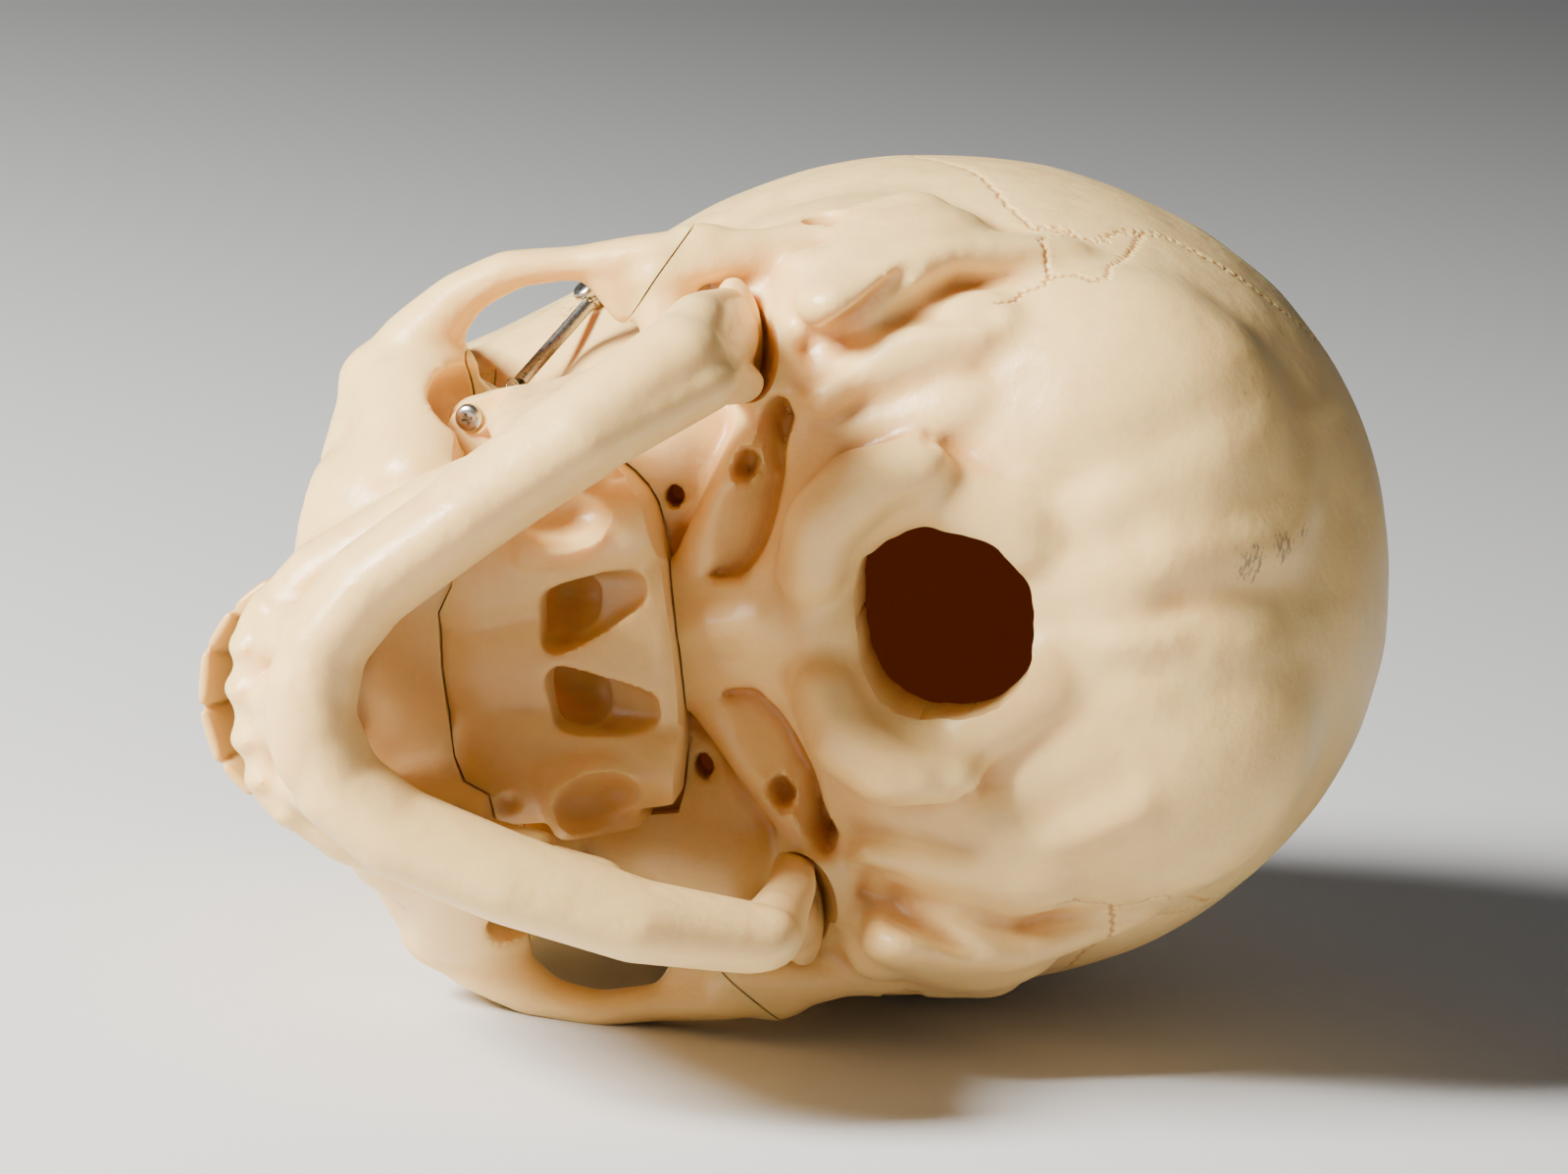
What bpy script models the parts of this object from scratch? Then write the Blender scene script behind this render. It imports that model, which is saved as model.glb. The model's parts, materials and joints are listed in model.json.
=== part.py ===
"""Anatomical skull model: a life-size moulded skull with a lift-off cap and a sprung jaw.

The skull is modelled upright around its ear axis: -X is the face, +Y the crown and +Z
its left side. At the end it is leaned over on its right side, where it rests on the
cheek arch and on the side of the cap.
"""
import math

import bpy
import bmesh
from mathutils import Matrix, Vector

# Driving size of the skull: from the ear axis forward to the brow
ear_to_brow_length = 0.100

# Vinyl moulding
vault_wall_thickness = 0.0048
seam_gap = 0.0003
saw_gap = 0.0003
body_voxel_size = 0.0024
jaw_voxel_size = 0.0019
insert_voxel_size = 0.0015
tooth_voxel_size = 0.0009
far_side_distance = 0.400
head_triangles = 6900
jaw_triangles = 1450
insert_triangles = 760
tooth_row_triangles = 560
groove_triangles = 640

# Saw cut round the vault
saw_height = 0.0430
saw_lean = math.radians(-5.0)

# Openings of the skull
foramen_magnum_length = 0.0298
foramen_magnum_width = 0.0325
orbit_width = 0.0390
orbit_height = 0.0335
ear_canal_bore = 0.0070
oval_foramen_bore = 0.0052
carotid_bore = 0.0066
nose_width = 0.0250
septum_thickness = 0.0026

# Jaw hinge
condyle_gap = 0.0006
condyle_length = 0.0190
condyle_height = 0.0084

# Teeth
bite_gap = 0.0005
gum_ridge_width = 0.0049
root_clearance = 0.0009

# Jaw springs: close-wound steel
spring_wire_diameter = 0.00060
spring_diameter = 0.00250
spring_pitch = 0.00140
lead_share = 1.2
points_per_turn = 8

# Screws that hold the springs
screw_head_diameter = 0.0046
screw_head_height = 0.0016
screw_shank_diameter = 0.0016
jaw_screw_stand = 0.0030
temple_screw_length = 0.0090
spring_stand = 0.0034
screw_clearance = 0.0003

# Pegs that locate the cap
peg_diameter = 0.0024
peg_length = 0.0110
peg_clearance = 0.0003
peg_boss_diameter = 0.0085
peg_boss_length = 0.0150

# How the skull lies on its right side
lean_to_crown = math.radians(-3.4)
lean_to_face = math.radians(-13.0)
rest_flat_depth = 0.0006

# The vault in sections from brow to occiput: place, crown, widest level, underside,
# fossa floor and half width, as shares of ear_to_brow_length
vault_station_shares = [
    (-0.978, 0.52, 0.43, 0.35, 0.41, 0.12),
    (-0.955, 0.69, 0.45, 0.30, 0.42, 0.27),
    (-0.890, 0.85, 0.47, 0.24, 0.42, 0.39),
    (-0.790, 0.97, 0.48, 0.16, 0.41, 0.445),
    (-0.640, 1.06, 0.49, 0.06, 0.39, 0.485),
    (-0.440, 1.13, 0.50, -0.03, 0.22, 0.565),
    (-0.230, 1.175, 0.49, -0.08, 0.13, 0.670),
    (0.000, 1.20, 0.48, -0.12, 0.02, 0.722),
    (0.200, 1.19, 0.48, -0.21, -0.13, 0.714),
    (0.370, 1.14, 0.46, -0.28, -0.20, 0.675),
    (0.520, 1.06, 0.44, -0.26, -0.19, 0.606),
    (0.660, 0.93, 0.42, -0.17, -0.10, 0.505),
    (0.770, 0.77, 0.40, -0.02, 0.05, 0.380),
    (0.840, 0.62, 0.39, 0.13, 0.19, 0.235),
    (0.875, 0.49, 0.39, 0.27, 0.32, 0.100),
]
vault_squareness = 2.25
vault_sides = 56
vault_steps = 4

# Broad rounded masses on both sides and in the middle: centre and half sizes
broad_mass_shares = [
    ((0.38, -0.03, 0.23), (0.36, 0.235, 0.31)),
    ((0.02, 0.14, 0.42), (0.33, 0.27, 0.26)),
    ((-0.32, 0.06, 0.31), (0.19, 0.20, 0.19)),
    ((-0.55, 0.27, 0.29), (0.15, 0.22, 0.13)),
    ((0.12, -0.06, 0.40), (0.16, 0.15, 0.18)),
]
broad_middle_shares = [
    ((-0.38, 0.02, 0.0), (0.20, 0.15, 0.19)),
    ((0.70, 0.10, 0.0), (0.12, 0.14, 0.16)),
    ((0.05, -0.08, 0.0), (0.30, 0.14, 0.28)),
    ((-0.66, 0.14, 0.0), (0.24, 0.20, 0.135)),
]

# Finer masses of the base and the face
base_mass_shares = [
    ((-0.30, -0.02, 0.33), (0.16, 0.12, 0.15)),
    ((-0.05, -0.10, 0.36), (0.12, 0.10, 0.14)),
]
face_mass_shares = [
    ((-0.70, -0.07, 0.455), (0.12, 0.10, 0.085)),
    ((-0.70, -0.22, 0.23), (0.19, 0.19, 0.17)),
]
face_middle_shares = [
    ((-0.86, -0.31, 0.0), (0.09, 0.11, 0.15)),
    ((-0.68, -0.325, 0.0), (0.26, 0.045, 0.25)),
]

# Struts run through a row of points, each with its own half sizes
base_strut_shares = [
    [((0.13, 0.02, 0.575), (0.15, 0.13, 0.080)), ((0.02, -0.205, 0.500), (0.070, 0.085, 0.052))],
    [((0.02, -0.205, 0.500), (0.070, 0.085, 0.052)), ((0.165, -0.110, 0.550), (0.085, 0.100, 0.055))],
    [((-0.02, -0.09, 0.42), (0.09, 0.075, 0.09)), ((-0.01, -0.095, 0.570), (0.065, 0.050, 0.040))],
    [((-0.27, -0.07, 0.585), (0.05, 0.050, 0.032)), ((-0.06, -0.01, 0.610), (0.05, 0.045, 0.036)),
     ((0.14, 0.06, 0.635), (0.07, 0.06, 0.045))],
    [((-0.27, -0.075, 0.40), (0.045, 0.045, 0.05)), ((-0.26, -0.065, 0.57), (0.045, 0.045, 0.04))],
    [((-0.235, -0.130, 0.125), (0.050, 0.065, 0.042)), ((-0.185, -0.135, 0.205), (0.050, 0.070, 0.048)),
     ((-0.110, -0.130, 0.305), (0.065, 0.075, 0.055))],
    [((-0.250, -0.120, 0.00), (0.080, 0.095, 0.11)), ((-0.08, -0.14, 0.11), (0.075, 0.105, 0.085)),
     ((0.02, -0.120, 0.305), (0.085, 0.105, 0.065))],
    [((0.02, -0.120, 0.305), (0.085, 0.105, 0.065)), ((0.20, -0.140, 0.330), (0.130, 0.110, 0.080))],
    [((-0.055, -0.260, 0.100), (0.058, 0.072, 0.056)), ((-0.030, -0.280, 0.175), (0.062, 0.072, 0.062)),
     ((0.040, -0.285, 0.235), (0.068, 0.068, 0.056)), ((0.125, -0.265, 0.250), (0.066, 0.060, 0.050))],
    [((-0.055, -0.200, 0.070), (0.07, 0.08, 0.05)), ((0.02, -0.220, 0.175), (0.060, 0.08, 0.060)),
     ((0.135, -0.225, 0.215), (0.065, 0.07, 0.060)), ((0.29, -0.25, 0.12), (0.07, 0.04, 0.07))],
    [((-0.100, -0.160, 0.390), (0.040, 0.060, 0.030)), ((-0.065, -0.120, 0.470), (0.045, 0.060, 0.040))],
    [((-0.015, -0.215, 0.375), (0.030, 0.045, 0.026)), ((0.060, -0.215, 0.390), (0.045, 0.045, 0.030)),
     ((0.190, -0.190, 0.420), (0.070, 0.060, 0.045))],
]
base_middle_strut_shares = [
    [((-0.44, -0.06, 0.0), (0.09, 0.09, 0.13)), ((-0.05, -0.22, 0.0), (0.07, 0.055, 0.11))],
]
face_strut_shares = [
    [((-0.930, 0.37, 0.05), (0.06, 0.075, 0.07)), ((-0.845, 0.385, 0.31), (0.07, 0.060, 0.08)),
     ((-0.715, 0.315, 0.485), (0.055, 0.055, 0.050))],
    [((-0.715, 0.315, 0.485), (0.055, 0.055, 0.050)), ((-0.675, 0.13, 0.510), (0.050, 0.060, 0.042)),
     ((-0.705, -0.03, 0.480), (0.085, 0.070, 0.060))],
    [((-0.705, -0.03, 0.470), (0.080, 0.065, 0.060)), ((-0.795, -0.035, 0.350), (0.060, 0.060, 0.060)),
     ((-0.850, 0.02, 0.230), (0.050, 0.055, 0.050)), ((-0.865, 0.14, 0.130), (0.045, 0.050, 0.040))],
    [((-0.885, 0.29, 0.075), (0.050, 0.060, 0.050)), ((-0.865, -0.10, 0.165), (0.055, 0.080, 0.045))],
    [((-0.69, -0.14, 0.430), (0.10, 0.080, 0.080)), ((-0.665, -0.33, 0.315), (0.090, 0.080, 0.070))],
    [((-0.665, -0.07, 0.520), (0.065, 0.070, 0.045)), ((-0.560, -0.055, 0.590), (0.050, 0.052, 0.030)),
     ((-0.420, -0.045, 0.636), (0.050, 0.050, 0.027)), ((-0.280, -0.050, 0.636), (0.055, 0.056, 0.030)),
     ((-0.130, -0.030, 0.615), (0.055, 0.045, 0.033))],
    [((-0.945, -0.385, 0.03), (0.062, 0.080, 0.06)), ((-0.900, -0.385, 0.140), (0.068, 0.080, 0.065)),
     ((-0.800, -0.385, 0.222), (0.070, 0.080, 0.065)), ((-0.670, -0.385, 0.265), (0.070, 0.080, 0.068)),
     ((-0.540, -0.370, 0.285), (0.060, 0.090, 0.065))],
]
face_middle_strut_shares = [
    [((-0.905, 0.31, 0.0), (0.055, 0.06, 0.065)), ((-0.960, 0.11, 0.0), (0.042, 0.055, 0.068))],
    [((-0.880, -0.23, 0.0), (0.040, 0.035, 0.040)), ((-0.960, -0.215, 0.0), (0.022, 0.020, 0.020))],
]

# Hollows of the skull
fossa_shares = [((-0.30, 0.16, 0.31), (0.17, 0.19, 0.15)), ((0.38, 0.02, 0.22), (0.26, 0.17, 0.24))]
orbit_shares = [((-1.02, 0.165, 0.345), 1.0), ((-0.80, 0.170, 0.315), 0.93), ((-0.50, 0.12, 0.150), 0.22)]
nose_shares = [
    [((-1.05, -0.125), (0.10, 0.075), 1.0), ((-0.60, -0.150), (0.08, 0.110), 1.0)],
    [((-1.05, -0.125), (0.10, 0.075), 1.0), ((-1.00, 0.030), (0.08, 0.060), 0.55)],
    [((-1.00, 0.000), (0.08, 0.090), 0.50), ((-0.66, 0.000), (0.08, 0.130), 0.55)],
]
canine_fossa_shares = ((-0.955, -0.17, 0.29), (0.13, 0.11, 0.09))
oval_foramen_shares = (-0.285, -0.13, 0.226)
carotid_shares = (-0.145, -0.18, 0.275)
ear_canal_shares = (-0.010, -0.04, 0.600)
oval_depth_share = 0.24
carotid_depth_share = 0.13
ear_canal_depth_share = 0.14
foramen_magnum_depth_share = 0.60
infratemporal_shares = ((-0.57, -0.13, 0.400), (0.145, 0.18, 0.085))

# Grooves of the base as rows of rounded knots that are cut away: beside the occipital plate,
# its jugular fossa, and inside the mastoid
groove_shares = [
    [((-0.200, -0.240, 0.105), (0.020, 0.100, 0.016)), ((-0.135, -0.240, 0.170), (0.016, 0.110, 0.016)),
     ((-0.100, -0.240, 0.240), (0.016, 0.120, 0.018)), ((-0.065, -0.240, 0.310), (0.026, 0.140, 0.030))],
    [((-0.065, -0.240, 0.300), (0.026, 0.150, 0.026)), ((-0.045, -0.250, 0.335), (0.026, 0.130, 0.022))],
    [((-0.015, -0.290, 0.405), (0.024, 0.110, 0.020)), ((0.070, -0.310, 0.462), (0.030, 0.120, 0.028)),
     ((0.170, -0.250, 0.530), (0.026, 0.120, 0.014))],
]

# Seams of the face moulding: behind the cheek bones, above the orbits and at the arches
face_seam_share = -0.600
brow_seam_share = 0.255
arch_seam_shares = ((-0.345, -0.10, 0.500), (-0.190, 0.00, 0.680))
arch_floor_share = -0.30
arch_roof_share = 0.04
arch_inner_share = 0.505

# The nasal insert: its pocket, then its own form
pocket_shares = ((-0.620, -0.305), (-0.60, -0.085), 0.290)
insert_mass_shares = [((-0.46, -0.19, 0.0), (0.22, 0.155, 0.28)), ((-0.37, -0.13, 0.0), (0.14, 0.11, 0.36))]
insert_strut_shares = [
    [((-0.58, -0.335, 0.15), (0.09, 0.045, 0.11)), ((-0.33, -0.24, 0.20), (0.05, 0.10, 0.075))],
    [((-0.44, -0.14, 0.22), (0.12, 0.08, 0.06)), ((-0.44, -0.345, 0.20), (0.075, 0.050, 0.050))],
    [((-0.58, -0.325, 0.00), (0.08, 0.05, 0.11)), ((-0.32, -0.22, 0.00), (0.05, 0.09, 0.12))],
    [((-0.34, -0.16, 0.25), (0.06, 0.09, 0.05)), ((-0.46, -0.20, 0.25), (0.06, 0.09, 0.05))],
]

# A rear nose opening: the corners of its mouth, their half sizes and levels, then the passage on
choana_corner_shares = [(-0.468, 0.052), (-0.468, 0.118), (-0.358, 0.046), (-0.358, 0.124)]
choana_corner_half_shares = (0.026, 0.060, 0.030)
choana_level_shares = (-0.430, -0.190)
choana_passage_shares = [((-0.44, -0.165, 0.083), (0.075, 0.07, 0.060)),
                         ((-0.72, -0.16, 0.080), (0.060, 0.07, 0.050))]
side_dish_shares = ((-0.42, -0.40, 0.255), (0.075, 0.10, 0.050))

# The lower jaw
jaw_strut_shares = [
    [((-0.795, -0.795, 0.02), (0.070, 0.095, 0.05)), ((-0.770, -0.790, 0.110), (0.069, 0.098, 0.070)),
     ((-0.690, -0.770, 0.192), (0.068, 0.106, 0.072)), ((-0.530, -0.738, 0.285), (0.070, 0.116, 0.070)),
     ((-0.340, -0.680, 0.375), (0.067, 0.115, 0.066)), ((-0.180, -0.570, 0.445), (0.075, 0.095, 0.056))],
    [((-0.895, -0.640, 0.02), (0.052, 0.060, 0.05)), ((-0.868, -0.640, 0.115), (0.054, 0.060, 0.054)),
     ((-0.775, -0.620, 0.195), (0.056, 0.070, 0.056)), ((-0.580, -0.600, 0.265), (0.060, 0.080, 0.060)),
     ((-0.420, -0.610, 0.325), (0.060, 0.075, 0.055))],
    [((-0.870, -0.660, 0.02), (0.050, 0.060, 0.05)), ((-0.800, -0.770, 0.02), (0.060, 0.080, 0.05))],
    [((-0.845, -0.660, 0.115), (0.050, 0.060, 0.05)), ((-0.770, -0.770, 0.110), (0.060, 0.080, 0.06))],
    [((-0.425, -0.570, 0.364), (0.070, 0.10, 0.050)), ((-0.480, -0.300, 0.405), (0.075, 0.08, 0.040)),
     ((-0.545, -0.080, 0.405), (0.048, 0.050, 0.034)), ((-0.550, -0.030, 0.405), (0.035, 0.030, 0.028))],
    [((-0.480, -0.260, 0.405), (0.065, 0.080, 0.038)), ((-0.578, -0.165, 0.385), (0.052, 0.060, 0.042))],
    [((-0.170, -0.540, 0.450), (0.065, 0.09, 0.048)), ((-0.165, -0.300, 0.465), (0.052, 0.06, 0.038)),
     ((-0.150, -0.145, 0.480), (0.040, 0.040, 0.060))],
]
ramus_plate_shares = [
    ((-0.190, -0.540, 0.440), (0.05, 0.08, 0.038)), ((-0.400, -0.560, 0.385), (0.06, 0.09, 0.044)),
    ((-0.440, -0.300, 0.412), (0.05, 0.06, 0.034)), ((-0.185, -0.300, 0.462), (0.04, 0.05, 0.034)),
]
chin_shares = ((-0.800, -0.830, 0.0), (0.066, 0.062, 0.130))
hinge_shares = (-0.150, -0.090, 0.480)
socket_mouth_shares = ((-0.145, -0.230, 0.480), (0.080, 0.060, 0.120))

# Teeth from the middle back: place, half sizes of the crown along and across the row
upper_tooth_shares = [
    ((-0.985, 0.043), 0.043, 0.036), ((-0.960, 0.118), 0.035, 0.034), ((-0.908, 0.182), 0.040, 0.040),
    ((-0.842, 0.222), 0.036, 0.045), ((-0.772, 0.248), 0.036, 0.047), ((-0.678, 0.272), 0.050, 0.052),
    ((-0.583, 0.290), 0.046, 0.050),
]
lower_tooth_shares = [
    ((-0.925, 0.028), 0.027, 0.032), ((-0.910, 0.086), 0.031, 0.033), ((-0.868, 0.142), 0.036, 0.038),
    ((-0.806, 0.186), 0.036, 0.040), ((-0.736, 0.215), 0.037, 0.043), ((-0.640, 0.246), 0.054, 0.050),
    ((-0.530, 0.276), 0.052, 0.050),
]
upper_gum_share = -0.435
lower_gum_share = -0.625
bite_share = -0.530

# Screws of the springs: one up through the tip of the jaw's coronoid, one out of the temple
jaw_screw_head_shares = (-0.578, -0.230, 0.395)
jaw_screw_aim_shares = (0.21, 0.97, 0.11)
jaw_screw_grip_share = 0.200
jaw_screw_length = ear_to_brow_length * jaw_screw_grip_share + jaw_screw_stand
temple_screw_shares = (-0.430, 0.230, 0.560)

# Pegs of the cap: front and both rear quarters, in the middle of the wall
peg_shares = {"front": (-0.925, 0.0), "left": (0.350, 0.610), "right": (0.350, -0.610)}


def at(shares):
    """A place or a size given in shares of the driving size."""
    return Vector(shares) * ear_to_brow_length


def mirrored(shares):
    return (shares[0], shares[1], -shares[2])


def clear_scene():
    for obj in list(bpy.data.objects):
        bpy.data.objects.remove(obj, do_unlink=True)


def material(name, colour, roughness, metallic=0.0):
    mat = bpy.data.materials.new(name)
    mat.use_nodes = True
    shader = mat.node_tree.nodes["Principled BSDF"]
    shader.inputs["Base Color"].default_value = (*colour, 1.0)
    shader.inputs["Roughness"].default_value = roughness
    shader.inputs["Metallic"].default_value = metallic
    return mat


def mesh_object(name, bm):
    bmesh.ops.recalc_face_normals(bm, faces=bm.faces)
    mesh = bpy.data.meshes.new(name)
    bm.to_mesh(mesh)
    bm.free()
    obj = bpy.data.objects.new(name, mesh)
    bpy.context.scene.collection.objects.link(obj)
    return obj


def add_ellipsoid(bm, centre, half, level=3):
    matrix = Matrix.Translation(centre) @ Matrix.Diagonal((*half, 1.0))
    bmesh.ops.create_icosphere(bm, subdivisions=level, radius=1.0, matrix=matrix)


def add_hull(bm, knots, level=2):
    """One convex body round two or more ellipsoids."""
    part = bmesh.new()
    for centre, half in knots:
        add_ellipsoid(part, centre, half, level)
    hull = bmesh.ops.convex_hull(part, input=part.verts)
    spare = [v for v in hull["geom_interior"] if isinstance(v, bmesh.types.BMVert)]
    bmesh.ops.delete(part, geom=spare, context="VERTS")
    copy_into(bm, part)
    part.free()


def copy_into(bm, part):
    verts = {v: bm.verts.new(v.co) for v in part.verts}
    for face in part.faces:
        bm.faces.new([verts[v] for v in face.verts])


def add_strut(bm, knots):
    """A limb through the knots, in hulls of neighbouring pairs."""
    for first, second in zip(knots, knots[1:]):
        add_hull(bm, [first, second])


def knots_of(rows, side=1):
    place = (lambda s: s) if side > 0 else mirrored
    return [(at(place(centre)), at(half)) for centre, half in rows]


def add_masses(bm, both_sides, middle, struts, middle_struts):
    for side in (1, -1):
        for centre, half in knots_of(both_sides, side):
            add_ellipsoid(bm, centre, half)
        for rows in struts:
            add_strut(bm, knots_of(rows, side))
    for centre, half in knots_of(middle):
        add_ellipsoid(bm, centre, half)
    for rows in middle_struts:
        add_strut(bm, knots_of(rows))


def section_ring(along, top, level, bottom, width):
    """A rounded cross-section of the vault, taller or flatter above and below its widest level."""
    ring = []
    for i in range(vault_sides):
        turn = 2 * math.pi * i / vault_sides
        across, up = math.cos(turn), math.sin(turn)
        power = 2 / vault_squareness
        z = width * math.copysign(abs(across) ** power, across)
        reach = top - level if up > 0 else level - bottom
        y = level + reach * math.copysign(abs(up) ** power, up)
        ring.append(Vector((along, y, z)))
    return ring


def add_loft(bm, sections):
    rings = [[bm.verts.new(p) for p in section] for section in sections]
    for first, second in zip(rings, rings[1:]):
        for i in range(len(first)):
            j = (i + 1) % len(first)
            bm.faces.new((first[i], first[j], second[j], second[i]))
    bm.faces.new(list(reversed(rings[0])))
    bm.faces.new(rings[-1])


def eased(rows, steps):
    """Rows of a smooth curve through the given rows, with the given steps between two of them."""
    smooth = []
    for i in range(len(rows) - 1):
        before, first = rows[max(i - 1, 0)], rows[i]
        second, after = rows[i + 1], rows[min(i + 2, len(rows) - 1)]
        for step in range(steps):
            t = step / steps
            row = []
            for a, b, c, d in zip(before, first, second, after):
                slope_in, slope_out = (c - a) / 2, (d - b) / 2
                curve = (2 * b - 2 * c + slope_in + slope_out) * t ** 3
                bend = (3 * c - 3 * b - 2 * slope_in - slope_out) * t ** 2
                row.append(curve + bend + slope_in * t + b)
            smooth.append(tuple(row))
    return [*smooth, rows[-1]]


def vault_sections(wall):
    """Sections of the outer vault, or of the hollow inside it where a wall is given."""
    sections = []
    for row in eased(vault_station_shares, vault_steps):
        place, crown, level, underside, floor, width = (share * ear_to_brow_length for share in row)
        place -= wall * row[0]
        top, half = crown - wall, width - wall
        bottom = floor if wall else underside
        if half > wall and top - bottom > 2 * wall:
            sections.append(section_ring(place, top, min(max(level, bottom), top), bottom, half))
    return sections


def evaluated(obj, name):
    """The object as its modifiers leave it, as a new plain object."""
    deps = bpy.context.evaluated_depsgraph_get()
    mesh = bpy.data.meshes.new_from_object(obj.evaluated_get(deps))
    bpy.data.objects.remove(obj, do_unlink=True)
    mesh.name = name
    fresh = bpy.data.objects.new(name, mesh)
    bpy.context.scene.collection.objects.link(fresh)
    return fresh


def moulded(obj, voxel, rounds, name):
    """Merge overlapping masses into one skin and soften it."""
    remesh = obj.modifiers.new("merge", "REMESH")
    remesh.mode = "VOXEL"
    remesh.voxel_size = voxel
    smooth = obj.modifiers.new("soften", "SMOOTH")
    smooth.factor = 0.5
    smooth.iterations = rounds
    return evaluated(obj, name)


def cut(obj, cutter, operation="DIFFERENCE", solver="EXACT"):
    mod = obj.modifiers.new("cut", "BOOLEAN")
    mod.operation = operation
    mod.solver = solver
    mod.object = cutter
    fresh = evaluated(obj, obj.name)
    bpy.data.objects.remove(cutter, do_unlink=True)
    return fresh


def main_body(obj):
    """Drop the slivers that a seam cuts loose and keep the largest body."""
    bm = bmesh.new()
    bm.from_mesh(obj.data)
    left = set(bm.verts)
    bodies = []
    while left:
        body, edge = set(), [left.pop()]
        while edge:
            vert = edge.pop()
            body.add(vert)
            near = [e.other_vert(vert) for e in vert.link_edges]
            edge += [v for v in near if v in left]
            left.difference_update(near)
        bodies.append(body)
    bodies.sort(key=len)
    spare = [v for body in bodies[:-1] for v in body]
    bmesh.ops.delete(bm, geom=spare, context="VERTS")
    bm.to_mesh(obj.data)
    bm.free()
    return obj


def thinned(obj, triangles):
    """Fewer triangles, most where the form curves."""
    bm = bmesh.new()
    bm.from_mesh(obj.data)
    bmesh.ops.triangulate(bm, faces=bm.faces)
    count = len(bm.faces)
    bm.to_mesh(obj.data)
    bm.free()
    mod = obj.modifiers.new("thin", "DECIMATE")
    mod.ratio = min(1.0, triangles / count)
    return evaluated(obj, obj.name)


def box(name, low, high):
    bm = bmesh.new()
    centre = (low + high) / 2
    matrix = Matrix.Translation(centre) @ Matrix.Diagonal((*(high - low), 1.0))
    bmesh.ops.create_cube(bm, size=1.0, matrix=matrix)
    return mesh_object(name, bm)


def prism(name, outline, low, high):
    """An outline in X and Z, carried up from low to high along Y."""
    bm = bmesh.new()
    verts = [bm.verts.new((x, low, z)) for x, z in outline]
    face = bm.faces.new(verts)
    grown = bmesh.ops.extrude_face_region(bm, geom=[face])
    tops = [v for v in grown["geom"] if isinstance(v, bmesh.types.BMVert)]
    bmesh.ops.translate(bm, verts=tops, vec=(0, high - low, 0))
    return mesh_object(name, bm)


def rod(name, foot, tip, radius, sides=16, tip_radius=None):
    bm = bmesh.new()
    run = tip - foot
    turn = run.to_track_quat("Z", "Y").to_matrix().to_4x4()
    matrix = Matrix.Translation((foot + tip) / 2) @ turn
    far = radius if tip_radius is None else tip_radius
    bmesh.ops.create_cone(bm, cap_ends=True, segments=sides, radius1=radius, radius2=far,
                          depth=run.length, matrix=matrix)
    return mesh_object(name, bm)


def saw_frame():
    """The plane of the saw cut: its height over the ear axis and its lean towards the brow."""
    turn = Matrix.Rotation(saw_lean, 4, "Z")
    return Matrix.Translation((0, saw_height, 0)) @ turn


def above_saw(name, clearance):
    """A block over the saw cut that clears it by the given amount."""
    far = far_side_distance
    obj = box(name, Vector((-far, clearance, -far)), Vector((far, far, far)))
    obj.data.transform(saw_frame())
    return obj


def head_solid():
    """The broad skull smoothed first, then its finer parts grown out of it."""
    bm = bmesh.new()
    add_loft(bm, vault_sections(0.0))
    add_masses(bm, broad_mass_shares, broad_middle_shares, [], [])
    broad = moulded(mesh_object("broad", bm), body_voxel_size, 28, "broad")
    bm = bmesh.new()
    bm.from_mesh(broad.data)
    bpy.data.objects.remove(broad, do_unlink=True)
    add_masses(bm, base_mass_shares, [], base_strut_shares, base_middle_strut_shares)
    add_masses(bm, face_mass_shares, face_middle_shares, face_strut_shares, face_middle_strut_shares)
    return moulded(mesh_object("head", bm), body_voxel_size, 4, "head")


def brain_hollow():
    bm = bmesh.new()
    add_loft(bm, vault_sections(vault_wall_thickness))
    add_masses(bm, fossa_shares, [], [], [])
    hollow = moulded(mesh_object("hollow", bm), body_voxel_size, 3, "hollow")
    for place, across in peg_shares.values():
        hollow = cut(hollow, peg_boss(place, across))
    return hollow


def peg_boss(place, across):
    spot = peg_foot(place, across)
    reach = Vector((0, peg_boss_length / 2, 0))
    return rod("boss", spot - reach, spot + reach, peg_boss_diameter / 2)


def peg_foot(place, across):
    """Where a peg crosses the saw plane."""
    x, z = place * ear_to_brow_length, across * ear_to_brow_length
    return Vector((x, saw_height + x * math.tan(saw_lean), z))


def orbit_cutter(side):
    bm = bmesh.new()
    half = Vector((orbit_width / 4, orbit_height / 2, orbit_width / 2))
    knots = []
    for centre, share in orbit_shares:
        spot = at(centre)
        knots.append((Vector((spot.x, spot.y, spot.z * side)), half * share))
    add_strut(bm, knots)
    return moulded(mesh_object("orbit", bm), body_voxel_size, 2, "orbit")


def nose_cutter(side):
    """One side of the nasal passage; the septum stays between the two."""
    bm = bmesh.new()
    half_width = (nose_width - septum_thickness) / 4
    for rows in nose_shares:
        knots = []
        for (along, up), (half_along, half_up), share in rows:
            half = half_width * share
            spot = at((along, up, 0))
            spot.z = side * (septum_thickness / 2 + half)
            size = at((half_along, half_up, 0))
            size.z = half
            knots.append((spot, size))
        add_strut(bm, knots)
    return moulded(mesh_object("nose", bm), insert_voxel_size, 1, "nose")


def hollow_cutter(shares, side):
    bm = bmesh.new()
    centre, half = knots_of([shares], side)[0]
    add_ellipsoid(bm, centre, half)
    return mesh_object("hollow_cutter", bm)


def groove_cutter(knots, side):
    bm = bmesh.new()
    add_strut(bm, knots_of(knots, side))
    return moulded(mesh_object("groove_cutter", bm), insert_voxel_size, 1, "groove_cutter")


def condyle(side, gap):
    """Place and half sizes of a jaw condyle, grown by a gap."""
    place = at(hinge_shares if side > 0 else mirrored(hinge_shares))
    return place, Vector((condyle_height / 2 + gap, condyle_height / 2 + gap, condyle_length / 2 + gap))


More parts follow.
